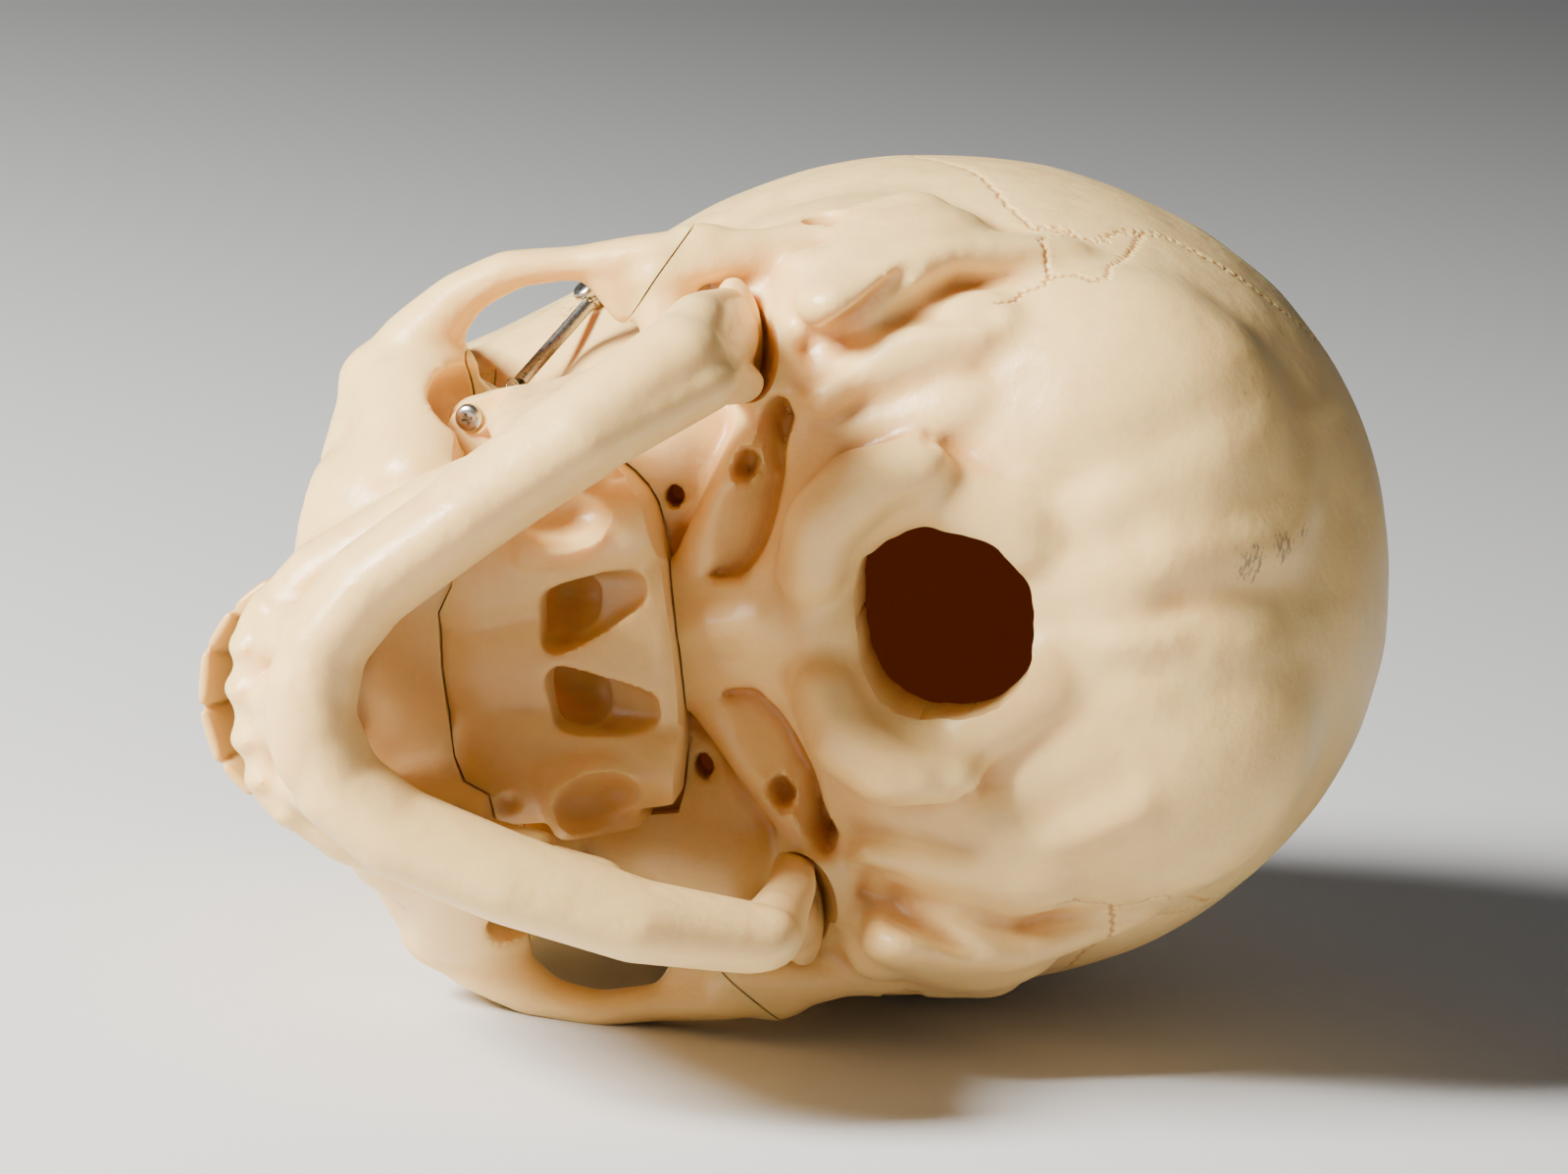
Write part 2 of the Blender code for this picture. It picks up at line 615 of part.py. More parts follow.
def jaw_socket(side):
    """The fossa that a condyle turns in, widening downwards for the neck of the jaw."""
    bm = bmesh.new()
    mouth = knots_of([socket_mouth_shares], side)[0]
    add_hull(bm, [condyle(side, condyle_gap), mouth])
    return moulded(mesh_object("socket", bm), insert_voxel_size, 1, "socket")


def bore_cutter(shares, side, bore, run):
    centre = at(shares if side > 0 else mirrored(shares))
    return rod("bore", centre - run, centre + run, bore / 2, 14)


def foramen_magnum():
    bm = bmesh.new()
    depth = foramen_magnum_depth_share * ear_to_brow_length
    centre = Vector((foramen_magnum_length / 2, -depth / 2, 0))
    bmesh.ops.create_cone(bm, cap_ends=True, segments=28, radius1=1.0, radius2=1.0, depth=1.0,
                          matrix=Matrix.Translation(centre)
                          @ Matrix.Diagonal((foramen_magnum_length / 2, depth,
                                             foramen_magnum_width / 2, 1.0))
                          @ Matrix.Rotation(math.pi / 2, 4, "X"))
    return mesh_object("foramen_magnum", bm)


def hollowed_head():
    head = cut(head_solid(), brain_hollow())
    for side in (1, -1):
        for cutter in (orbit_cutter(side), nose_cutter(side), jaw_socket(side),
                       hollow_cutter(canine_fossa_shares, side),
                       hollow_cutter(infratemporal_shares, side),
                       *(groove_cutter(knots, side) for knots in groove_shares)):
            head = cut(head, cutter)
    return thinned(head, head_triangles)


def bored(head):
    """The round holes of the skull's base, cut cleanly after the skin is thinned."""
    up = Vector((0, ear_to_brow_length, 0))
    outward = Vector((0, 0, ear_to_brow_length))
    head = cut(head, foramen_magnum())
    for side in (1, -1):
        for cutter in (bore_cutter(oval_foramen_shares, side, oval_foramen_bore, up * oval_depth_share),
                       bore_cutter(carotid_shares, side, carotid_bore, up * carotid_depth_share),
                       bore_cutter(ear_canal_shares, side, ear_canal_bore,
                                   outward * ear_canal_depth_share)):
            head = cut(head, cutter)
    return head


def copied(obj, name):
    twin = bpy.data.objects.new(name, obj.data.copy())
    bpy.context.scene.collection.objects.link(twin)
    return twin


def face_region(name, clearance):
    """The space of the face moulding: the face block and the two cheek arches."""
    rear = face_seam_share * ear_to_brow_length + clearance
    roof = brow_seam_share * ear_to_brow_length + clearance
    far = far_side_distance
    region = box(name, Vector((-far, -far, -far)), Vector((rear, roof, far)))
    inner = arch_inner_share * ear_to_brow_length - clearance
    low = arch_floor_share * ear_to_brow_length
    high = arch_roof_share * ear_to_brow_length
    (near_x, _, near_z), (end_x, _, end_z) = (tuple(at(s)) for s in arch_seam_shares)
    run = Vector((end_x - near_x, end_z - near_z)).normalized()
    step = Vector((run.y, -run.x)) * clearance
    front = rear - far_side_distance / 4
    for side in (1, -1):
        beyond = Vector((end_x, end_z)) + run * far_side_distance / 4 + step
        near = Vector((near_x, near_z)) + step
        reach = (inner - near.y) / run.y
        corner = near + run * reach
        outline = [(front, side * inner), (corner.x, side * inner), (beyond.x, side * beyond.y),
                   (front, side * beyond.y)]
        region = cut(region, prism("arch", outline, low, high), "UNION")
    return region


def pocket(name, clearance):
    (front, rear), (floor, roof), half = pocket_shares
    low = at((front, floor, -half)) - Vector((clearance, 0, clearance))
    high = at((rear, roof, half)) + Vector((clearance, clearance, clearance))
    return box(name, low, high)


def choana_cutter(side):
    """A squarish rear opening of the nose and the passage on from it."""
    bm = bmesh.new()
    knots = [((x, level, z), choana_corner_half_shares)
             for x, z in choana_corner_shares for level in choana_level_shares]
    add_hull(bm, knots_of(knots, side))
    add_strut(bm, knots_of(choana_passage_shares, side))
    return moulded(mesh_object("choana", bm), insert_voxel_size, 1, "choana")


def nasal_insert():
    bm = bmesh.new()
    add_masses(bm, [], insert_mass_shares, insert_strut_shares, [])
    insert = moulded(mesh_object("nasal_insert", bm), insert_voxel_size, 3, "nasal_insert")
    for side in (1, -1):
        insert = cut(insert, hollow_cutter(side_dish_shares, side))
        insert = cut(insert, choana_cutter(side))
    insert = thinned(insert, insert_triangles)
    return main_body(cut(insert, pocket("pocket", 0.0), "INTERSECT"))


def jaw_solid():
    bm = bmesh.new()
    add_masses(bm, [], [chin_shares], jaw_strut_shares, [])
    for side in (1, -1):
        add_hull(bm, knots_of(ramus_plate_shares, side))
        centre, half = condyle(side, 0)
        add_ellipsoid(bm, centre, half)
    return moulded(mesh_object("mandible", bm), jaw_voxel_size, 3, "mandible")


def tooth_row(name, shares, gum_share, edge_share, up):
    """A moulded row of crowns on a low gum ridge."""
    bm = bmesh.new()
    gum = gum_share * ear_to_brow_length
    edge = edge_share * ear_to_brow_length + up * bite_gap / 2
    spots = []
    for side in (1, -1):
        row = [Vector((x * ear_to_brow_length, 0, side * z * ear_to_brow_length)) for (x, z), _, _ in shares]
        spots.append(row)
        for i, ((x, z), along, across) in enumerate(shares):
            before = row[i - 1] if i else Vector((row[0].x, 0, -row[0].z))
            after = row[i + 1] if i + 1 < len(row) else row[i] * 2 - row[i - 1]
            run = (after - before).normalized()
            turn = math.atan2(-run.z, run.x)
            add_crown(bm, row[i], turn, along * ear_to_brow_length, across * ear_to_brow_length, gum, edge)
    ridge = [*reversed(spots[1]), *spots[0]]
    half = Vector((gum_ridge_width / 2, gum_ridge_width / 2, gum_ridge_width / 2))
    add_strut(bm, [(Vector((p.x, gum, p.z)), half) for p in ridge])
    return moulded(mesh_object(name, bm), tooth_voxel_size, 2, name)


def add_crown(bm, spot, turn, along, across, gum, edge):
    """One crown: a rounded block, narrower at the gum than at its widest."""
    height = edge - gum
    part = bmesh.new()
    neck_share, belly_share = 0.80, 1.0
    level_shares = [(-0.25, 0.62), (0.10, neck_share), (0.60, belly_share), (0.90, 0.90), (1.0, 0.66)]
    rings = []
    for level, width in level_shares:
        ring = []
        for i in range(12):
            angle = 2 * math.pi * i / 12
            power = 2 / 3
            x = math.copysign(abs(math.cos(angle)) ** power, math.cos(angle)) * along * width
            z = math.copysign(abs(math.sin(angle)) ** power, math.sin(angle)) * across * width
            ring.append(Vector((x, gum + height * level, z)))
        rings.append(ring)
    add_loft(part, rings)
    part.transform(Matrix.Translation(spot) @ Matrix.Rotation(turn, 4, "Y"))
    copy_into(bm, part)
    part.free()


def peg(name, place, across, gap):
    """A peg across the saw cut, or with a gap the bore that takes it."""
    foot = peg_foot(place, across)
    axis = saw_frame().to_3x3() @ Vector((0, peg_length / 2 + gap, 0))
    return rod(name, foot - axis, foot + axis, peg_diameter / 2 + gap, 12)


def screw(name, seat, axis, stand, length):
    """A pan-head screw: its head's underside lies stand beyond the seat, its shank runs back."""
    under = seat + axis * stand
    shank = rod(name, under + axis * screw_head_height / 2, under - axis * length,
                screw_shank_diameter / 2, 10)
    head = rod("head", under, under + axis * screw_head_height, screw_head_diameter / 2, 14,
               screw_head_diameter / 3)
    return cut(shank, head, "UNION")


def screw_seat(seat, axis, length):
    """The bore and the spot face that take a screw."""
    bore = rod("bore", seat, seat - axis * (length + screw_shank_diameter),
               screw_shank_diameter / 2 + screw_clearance, 12)
    face = rod("face", seat - axis * screw_clearance, seat + axis * screw_head_diameter,
               screw_head_diameter / 2 + screw_clearance, 14)
    return cut(bore, face, "UNION")


def surface_point(obj, spot):
    """The nearest point of the surface and the outward direction there."""
    _, place, normal, _ = obj.closest_point_on_mesh(spot)
    return place, normal.normalized()


def coil_points(start, lead, end):
    """A straight lead, a close-wound coil and a straight tail, from start to end."""
    first = start + lead.normalized() * spring_wire_diameter * lead_share
    run = end - first
    axis = run.normalized()
    side = axis.cross(Vector((0, 0, 1))).normalized()
    up = side.cross(axis)
    radius = (spring_diameter - spring_wire_diameter) / 2
    length = run.length - spring_wire_diameter * lead_share * 2
    turns = int(length / spring_pitch)
    count = turns * points_per_turn
    foot = first + axis * (run.length - turns * spring_pitch) / 2
    coil = []
    for i in range(count + 1):
        angle = 2 * math.pi * i / points_per_turn
        rise = axis * spring_pitch * i / points_per_turn
        coil.append(foot + rise + (side * math.cos(angle) + up * math.sin(angle)) * radius)
    return [start, first, *coil, end - axis * spring_wire_diameter * lead_share, end]


def least_gap(points):
    """The least gap of a coil to itself, measured between points over half a turn apart."""
    apart = points_per_turn // 2 + 2
    gaps = [(a - b).length for i, a in enumerate(points) for b in points[i + apart:]]
    return min(gaps) - spring_wire_diameter


def spring(name, start, lead, end):
    points = coil_points(start, lead, end)
    curve = bpy.data.curves.new(name, "CURVE")
    curve.dimensions = "3D"
    curve.bevel_depth = spring_wire_diameter / 2
    curve.bevel_resolution = 1
    curve.use_fill_caps = True
    line = curve.splines.new("POLY")
    line.points.add(len(points) - 1)
    for point, spot in zip(line.points, points):
        point.co = (*spot, 1.0)
    obj = bpy.data.objects.new(name, curve)
    bpy.context.scene.collection.objects.link(obj)
    print(name, "curls", (len(points) - 5) // points_per_turn, "least gap", round(least_gap(points), 5))
    return obj


def fit_pegs(cap, base):
    """Three pegs stand across the saw cut in bores of both pieces."""
    pegs = []
    for place_name, (place, across) in peg_shares.items():
        cap = cut(cap, peg("bore", place, across, peg_clearance))
        base = cut(base, peg("bore", place, across, peg_clearance))
        pegs.append(peg(place_name + "_cap_peg", place, across, 0.0))
    return cap, base, pegs


def fit_springs(jaw, base):
    """A screw up through each coronoid, one out of each temple and a spring between them."""
    fitted = []
    for side_name, side in (("left", 1), ("right", -1)):
        aim = Vector(jaw_screw_aim_shares).normalized()
        head = at(jaw_screw_head_shares)
        temple = at(temple_screw_shares)
        if side < 0:
            aim, head, temple = (Vector(mirrored(v)) for v in (aim, head, temple))
        seat, _ = surface_point(jaw, head)
        jaw = cut(jaw, screw_seat(seat, -aim, jaw_screw_length))
        jaw_screw = screw(side_name + "_jaw_screw", seat, -aim, 0.0, jaw_screw_length)
        wall, out = surface_point(base, temple)
        base = cut(base, rod("bore", wall + out * spring_stand, wall - out * temple_screw_length,
                             screw_shank_diameter / 2 + screw_clearance, 12))
        temple_screw = screw(side_name + "_temple_screw", wall, out, spring_stand, temple_screw_length)
        start = seat + aim * (jaw_screw_length + seam_gap)
        hold = wall + out * spring_stand / 2
        away = (start - hold)
        away -= out * away.dot(out)
        end = hold + away.normalized() * (screw_shank_diameter / 2 + seam_gap)
        fitted += [jaw_screw, temple_screw, spring(side_name + "_jaw_spring", start, aim, end)]
    return jaw, base, fitted


def laid_down(pieces):
    """Lean all pieces over on the right side and set the lowest point on the ground."""
    rest = bpy.data.objects.new("skull_rest", None)
    bpy.context.scene.collection.objects.link(rest)
    turn = Matrix.Rotation(lean_to_face, 4, "Y") @ Matrix.Rotation(lean_to_crown, 4, "X")
    corners = [turn @ v.co for obj in pieces if obj.type == "MESH" for v in obj.data.vertices]
    low = Vector(min(c[i] for c in corners) for i in range(3))
    high = Vector(max(c[i] for c in corners) for i in range(3))
    lift = Vector((-(low.x + high.x) / 2, -(low.y + high.y) / 2, -low.z - rest_flat_depth))
    rest.matrix_world = Matrix.Translation(lift) @ turn
    return rest


def flattened(obj, rest):
    """Cut a real flat where the piece meets the ground."""
    far = far_side_distance
    ground = box("ground", Vector((-far, -far, -far)), Vector((far, far, 0)))
    ground.data.transform(rest.matrix_world.inverted())
    return cut(obj, ground)


def rounded(obj):
    obj.data.shade_smooth()
    obj.data.set_sharp_from_angle(angle=math.radians(50))


def socketed(obj, row):
    """Sink a row of teeth in a groove that clears its roots."""
    grown = copied(row, "groove")
    grow = grown.modifiers.new("grow", "DISPLACE")
    grow.strength = root_clearance
    grow.mid_level = 0.0
    groove = thinned(moulded(grown, tooth_voxel_size, 1, "groove"), groove_triangles)
    return main_body(cut(obj, groove))


def pivot(name, rest, frame):
    """An empty on a joint's axis, carried by the leaned skull."""
    empty = bpy.data.objects.new(name, None)
    bpy.context.scene.collection.objects.link(empty)
    empty.parent = rest
    empty.matrix_local = frame
    return empty


def hung(obj, carrier, frame):
    """Hang a piece on its carrier without moving it."""
    obj.parent = carrier
    obj.matrix_parent_inverse = frame.inverted()


def report(obj):
    if obj.type == "MESH":
        obj.data.calc_loop_triangles()
        print(obj.name, len(obj.data.loop_triangles))


def main():
    clear_scene()
    head = bored(hollowed_head())
    cap = cut(copied(head, "skull_cap"), above_saw("over", saw_gap), "INTERSECT")
    base = cut(head, above_saw("over", 0.0))
    face = cut(copied(base, "facial_skeleton"), face_region("region", 0.0), "INTERSECT")
    base = cut(base, face_region("region", seam_gap))
    face = cut(face, pocket("pocket", seam_gap))
    base = main_body(cut(base, pocket("pocket", seam_gap)))
    face = main_body(face)
    insert = nasal_insert()
    jaw = thinned(jaw_solid(), jaw_triangles)
    cap, base, pegs = fit_pegs(cap, base)
    jaw, base, fitted = fit_springs(jaw, base)
    uppers = tooth_row("upper_teeth", upper_tooth_shares, upper_gum_share, bite_share, 1)
    lowers = tooth_row("lower_teeth", lower_tooth_shares, lower_gum_share, bite_share, -1)
    uppers = thinned(uppers, tooth_row_triangles)
    lowers = thinned(lowers, tooth_row_triangles)
    face = socketed(face, uppers)
    jaw = socketed(jaw, lowers)
    rest = laid_down([cap, base, face, insert, jaw, uppers, lowers])
    cap, base, face = (flattened(obj, rest) for obj in (cap, base, face))
    names = {"skull_cap": cap, "cranial_base": base, "facial_skeleton": face, "nasal_insert": insert,
             "mandible": jaw, "upper_teeth": uppers, "lower_teeth": lowers}
    vinyl = material("cream_vinyl", (0.83, 0.70, 0.49), 0.38)
    enamel = material("tooth_vinyl", (0.80, 0.64, 0.40), 0.32)
    steel = material("bright_steel", (0.62, 0.61, 0.59), 0.28, 1.0)
    for name, obj in names.items():
        obj.name = name
        obj.data.materials.clear()
        obj.data.materials.append(enamel if obj in (uppers, lowers) else vinyl)
        rounded(obj)
    for obj in (*pegs, *fitted):
        obj.data.materials.append(steel)
        if obj.type == "MESH":
            rounded(obj)
    hinge_place = at(hinge_shares)
    hinge_frame = Matrix.Translation((hinge_place.x, hinge_place.y, 0))
    jaw_hinge = pivot("jaw_hinge", rest, hinge_frame)
    cap_lift = pivot("cap_lift", rest, saw_frame())
    for obj in (*names.values(), *pegs, *fitted):
        if obj in (jaw, lowers) or obj.name.endswith("jaw_screw"):
            hung(obj, jaw_hinge, hinge_frame)
        elif obj is cap:
            hung(obj, cap_lift, saw_frame())
        else:
            obj.parent = rest
        report(obj)


main()
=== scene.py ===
"""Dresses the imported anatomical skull: moulded vinyl bone, teeth, steel springs and screws, a studio.

The skull is modelled upright round its ear axis, -X to the face, +Y to the crown and +Z to its
left, in shares of the length from the ear axis to the brow, and is laid down on its right side
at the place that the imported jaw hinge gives.
"""
import json
import math

import bmesh
import bpy
import numpy as np
from mathutils import Matrix, Vector, noise
from mathutils.bvhtree import BVHTree
from mathutils.kdtree import KDTree


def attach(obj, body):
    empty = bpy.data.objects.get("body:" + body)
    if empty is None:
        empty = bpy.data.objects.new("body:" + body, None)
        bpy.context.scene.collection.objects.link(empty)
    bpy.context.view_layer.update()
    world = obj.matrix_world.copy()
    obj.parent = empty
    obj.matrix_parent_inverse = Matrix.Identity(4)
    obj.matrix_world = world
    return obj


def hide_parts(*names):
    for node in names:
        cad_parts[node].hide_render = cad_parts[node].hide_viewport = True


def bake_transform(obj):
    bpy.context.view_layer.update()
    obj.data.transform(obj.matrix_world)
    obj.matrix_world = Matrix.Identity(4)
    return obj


bl_info = {
    "name": "Anatomical Skull Cast",
    "version": (1, 0, 0),
    "blender": (4, 5, 0),
    "location": "View3D > Sidebar > Skull",
    "description": "Builds a life-size moulded skull with a lift-off cap and a sprung jaw",
    "category": "Add Mesh",
}

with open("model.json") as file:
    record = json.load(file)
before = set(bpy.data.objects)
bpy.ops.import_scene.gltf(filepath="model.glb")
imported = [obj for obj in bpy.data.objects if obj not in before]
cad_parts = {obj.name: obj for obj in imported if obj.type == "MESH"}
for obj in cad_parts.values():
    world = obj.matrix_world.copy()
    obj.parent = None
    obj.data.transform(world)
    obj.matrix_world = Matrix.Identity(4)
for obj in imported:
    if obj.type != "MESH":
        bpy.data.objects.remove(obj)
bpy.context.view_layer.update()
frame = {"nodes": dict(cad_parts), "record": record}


def srgb(code):
    """An sRGB hex value as linear red, green and blue."""
    parts = (int(code[i:i + 2], 16) / 255 for i in (1, 3, 5))
    return tuple(c / 12.92 if c <= 0.04045 else ((c + 0.055) / 1.055) ** 2.4 for c in parts)


# The pose: how far the upright skull leans, and the hinge point that both frames share
LEAN_TO_CROWN = math.radians(-3.4)
LEAN_TO_FACE = math.radians(-13.0)
HINGE_SHARES = (-0.15, -0.09, 0.48)
EAR_TO_BROW = 0.1


def upright_to_world():
    hinge = next(j for j in frame["record"]["behaviour"]["joints"] if j["name"] == "jaw_hinge")
    turn = Matrix.Rotation(LEAN_TO_FACE, 4, "Y") @ Matrix.Rotation(LEAN_TO_CROWN, 4, "X")
    middle = Vector((HINGE_SHARES[0], HINGE_SHARES[1], 0)) * EAR_TO_BROW
    return Matrix.Translation(hinge["pos_m"]) @ turn @ Matrix.Translation(-middle)


LAY = upright_to_world()

# The vault in sections from brow to occiput: place, crown, widest level, underside,
# fossa floor and half width
VAULT = [
    (-0.978, 0.52, 0.43, 0.35, 0.41, 0.12),
    (-0.955, 0.69, 0.45, 0.3, 0.42, 0.27),
    (-0.89, 0.85, 0.47, 0.24, 0.42, 0.39),
    (-0.79, 0.97, 0.48, 0.16, 0.41, 0.445),
    (-0.64, 1.06, 0.49, 0.06, 0.39, 0.485),
    (-0.44, 1.13, 0.5, -0.03, 0.22, 0.565),
    (-0.23, 1.175, 0.49, -0.08, 0.13, 0.67),
    (0.0, 1.199, 0.48, -0.12, 0.02, 0.722),
    (0.2, 1.19, 0.48, -0.21, -0.13, 0.713),
    (0.37, 1.14, 0.46, -0.28, -0.2, 0.674),
    (0.52, 1.06, 0.44, -0.26, -0.19, 0.606),
    (0.66, 0.93, 0.42, -0.17, -0.1, 0.505),
    (0.77, 0.77, 0.4, -0.02, 0.05, 0.38),
    (0.84, 0.62, 0.39, 0.13, 0.19, 0.235),
    (0.875, 0.49, 0.39, 0.27, 0.32, 0.1),
]
VAULT_SQUARENESS = 2.25
VAULT_SIDES = 64
VAULT_STEPS = 5

# Broad rounded masses of both sides and of the middle: centre and half sizes
BROAD_MASSES = [
    ((0.38, -0.03, 0.23), (0.36, 0.235, 0.31)),
    ((0.02, 0.14, 0.42), (0.33, 0.27, 0.26)),
    ((-0.32, 0.06, 0.31), (0.19, 0.2, 0.19)),
    ((-0.55, 0.27, 0.29), (0.15, 0.22, 0.13)),
    ((0.12, -0.06, 0.4), (0.16, 0.15, 0.18)),
]
BROAD_MIDDLE = [
    ((-0.38, 0.02, 0.0), (0.2, 0.15, 0.19)),
    ((0.7, 0.1, 0.0), (0.12, 0.14, 0.16)),
    ((0.05, -0.08, 0.0), (0.3, 0.14, 0.28)),
    ((-0.66, 0.14, 0.0), (0.24, 0.2, 0.135)),
]
BASE_MASSES = [
    ((-0.3, -0.02, 0.33), (0.16, 0.12, 0.15)),
    ((-0.05, -0.1, 0.36), (0.12, 0.1, 0.14)),
]
# Struts of the base: mastoid, socket floor, arch root, eminence, petrous ridge, plate edge,
# plate rear, condyle, tympanic lumps, jugular process
BASE_STRUTS = [
    [((0.13, 0.02, 0.585), (0.15, 0.13, 0.075)), ((0.02, -0.2, 0.52), (0.068, 0.085, 0.046))],
    [((0.02, -0.2, 0.52), (0.068, 0.085, 0.046)), ((0.16, -0.06, 0.575), (0.11, 0.105, 0.045)),
     ((0.33, 0.01, 0.545), (0.11, 0.07, 0.04))],
    [((-0.02, -0.09, 0.42), (0.09, 0.075, 0.09)), ((-0.01, -0.095, 0.57), (0.065, 0.05, 0.04))],
    [((-0.27, -0.07, 0.585), (0.05, 0.05, 0.032)), ((-0.06, -0.01, 0.61), (0.05, 0.045, 0.036)),
     ((0.14, 0.06, 0.635), (0.07, 0.06, 0.045))],
    [((-0.27, -0.075, 0.4), (0.045, 0.045, 0.05)), ((-0.26, -0.065, 0.57), (0.045, 0.045, 0.04))],
    [((-0.235, -0.13, 0.125), (0.05, 0.065, 0.042)), ((-0.185, -0.135, 0.205), (0.05, 0.07, 0.048)),
     ((-0.11, -0.13, 0.305), (0.065, 0.075, 0.055))],
    [((-0.25, -0.12, 0.0), (0.08, 0.095, 0.11)), ((-0.08, -0.14, 0.11), (0.075, 0.105, 0.085)),
     ((0.02, -0.12, 0.305), (0.085, 0.105, 0.065))],
    [((0.02, -0.12, 0.305), (0.085, 0.105, 0.065)), ((0.2, -0.14, 0.33), (0.13, 0.11, 0.08))],
    [((-0.055, -0.268, 0.1), (0.058, 0.072, 0.056)), ((-0.03, -0.294, 0.175), (0.062, 0.074, 0.062)),
     ((0.04, -0.3, 0.235), (0.068, 0.07, 0.056)), ((0.125, -0.278, 0.25), (0.066, 0.062, 0.05))],
    [((-0.055, -0.2, 0.07), (0.07, 0.08, 0.05)), ((0.02, -0.22, 0.175), (0.06, 0.08, 0.06)),
     ((0.135, -0.225, 0.215), (0.065, 0.07, 0.06)), ((0.29, -0.25, 0.12), (0.07, 0.04, 0.07))],
    [((-0.1, -0.16, 0.39), (0.04, 0.06, 0.03)), ((-0.065, -0.12, 0.47), (0.045, 0.06, 0.04))],
    [((-0.015, -0.205, 0.375), (0.034, 0.045, 0.03)), ((0.07, -0.185, 0.4), (0.065, 0.055, 0.045)),
     ((0.23, -0.13, 0.44), (0.12, 0.09, 0.075))],
]
BASE_MIDDLE_STRUTS = [
    [((-0.44, -0.06, 0.0), (0.09, 0.09, 0.13)), ((-0.05, -0.22, 0.0), (0.07, 0.055, 0.11))],
]
FACE_MASSES = [
    ((-0.7, -0.07, 0.455), (0.12, 0.1, 0.085)),
    ((-0.7, -0.22, 0.23), (0.19, 0.19, 0.17)),
]
FACE_MIDDLE = [
    ((-0.86, -0.31, 0.0), (0.09, 0.11, 0.15)),
    ((-0.68, -0.325, 0.0), (0.26, 0.045, 0.25)),
]
FACE_STRUTS = [
    [((-0.93, 0.37, 0.05), (0.06, 0.075, 0.07)), ((-0.845, 0.385, 0.31), (0.07, 0.06, 0.08)),
     ((-0.715, 0.315, 0.485), (0.055, 0.055, 0.05))],
    [((-0.715, 0.315, 0.485), (0.055, 0.055, 0.05)), ((-0.675, 0.13, 0.51), (0.05, 0.06, 0.042)),
     ((-0.705, -0.03, 0.48), (0.085, 0.07, 0.06))],
    [((-0.69, 0.26, 0.445), (0.045, 0.06, 0.05)), ((-0.69, 0.06, 0.44), (0.04, 0.08, 0.05)),
     ((-0.56, 0.1, 0.33), (0.06, 0.16, 0.06))],
    [((-0.705, -0.03, 0.47), (0.08, 0.065, 0.06)), ((-0.795, -0.035, 0.35), (0.06, 0.06, 0.06)),
     ((-0.84, 0.0, 0.23), (0.05, 0.06, 0.055)), ((-0.86, 0.14, 0.135), (0.045, 0.055, 0.045))],
    [((-0.885, 0.29, 0.075), (0.05, 0.06, 0.05)), ((-0.845, -0.1, 0.165), (0.045, 0.08, 0.045))],
    [((-0.69, -0.14, 0.43), (0.1, 0.08, 0.08)), ((-0.665, -0.33, 0.315), (0.09, 0.08, 0.07))],
    [((-0.68, -0.07, 0.52), (0.07, 0.075, 0.05)), ((-0.6, -0.06, 0.588), (0.05, 0.056, 0.036)),
     ((-0.51, -0.055, 0.62), (0.05, 0.052, 0.031)), ((-0.4, -0.048, 0.618), (0.05, 0.05, 0.03)),
     ((-0.28, -0.05, 0.626), (0.055, 0.056, 0.03)), ((-0.13, -0.03, 0.615), (0.055, 0.045, 0.033))],
    [((-0.34, -0.058, 0.516), (0.012, 0.016, 0.012)), ((-0.34, -0.05, 0.618), (0.08, 0.046, 0.028))],
    [((-0.34, -0.058, 0.516), (0.012, 0.016, 0.012)), ((-0.205, -0.046, 0.636), (0.06, 0.042, 0.032))],
    [((-0.945, -0.385, 0.03), (0.062, 0.08, 0.06)), ((-0.893, -0.385, 0.115), (0.062, 0.08, 0.055)),
     ((-0.8, -0.385, 0.185), (0.066, 0.08, 0.056)), ((-0.67, -0.385, 0.235), (0.07, 0.08, 0.062)),
     ((-0.54, -0.37, 0.27), (0.06, 0.09, 0.065))],
    [((-0.66, -0.03, 0.44), (0.06, 0.07, 0.06)), ((-0.59, 0.02, 0.35), (0.06, 0.07, 0.05))],
]
# The front of the upper jaw as one body, from the rim of the orbit down to the roots
MAXILLA = [
    ((-0.87, 0.2, 0.1), (0.04, 0.06, 0.035)), ((-0.845, -0.1, 0.165), (0.045, 0.08, 0.045)),
    ((-0.868, -0.345, 0.105), (0.045, 0.08, 0.045)), ((-0.79, -0.345, 0.185), (0.055, 0.08, 0.055)),
    ((-0.8, -0.07, 0.335), (0.055, 0.065, 0.055)), ((-0.772, -0.085, 0.41), (0.055, 0.07, 0.055)),
    ((-0.65, -0.3, 0.26), (0.08, 0.08, 0.065)),
]
FACE_MIDDLE_STRUTS = [
    [((-0.905, 0.31, 0.0), (0.055, 0.06, 0.065)), ((-0.96, 0.11, 0.0), (0.042, 0.055, 0.068))],
    [((-0.88, -0.23, 0.0), (0.04, 0.035, 0.04)), ((-0.96, -0.215, 0.0), (0.022, 0.02, 0.02))],
]

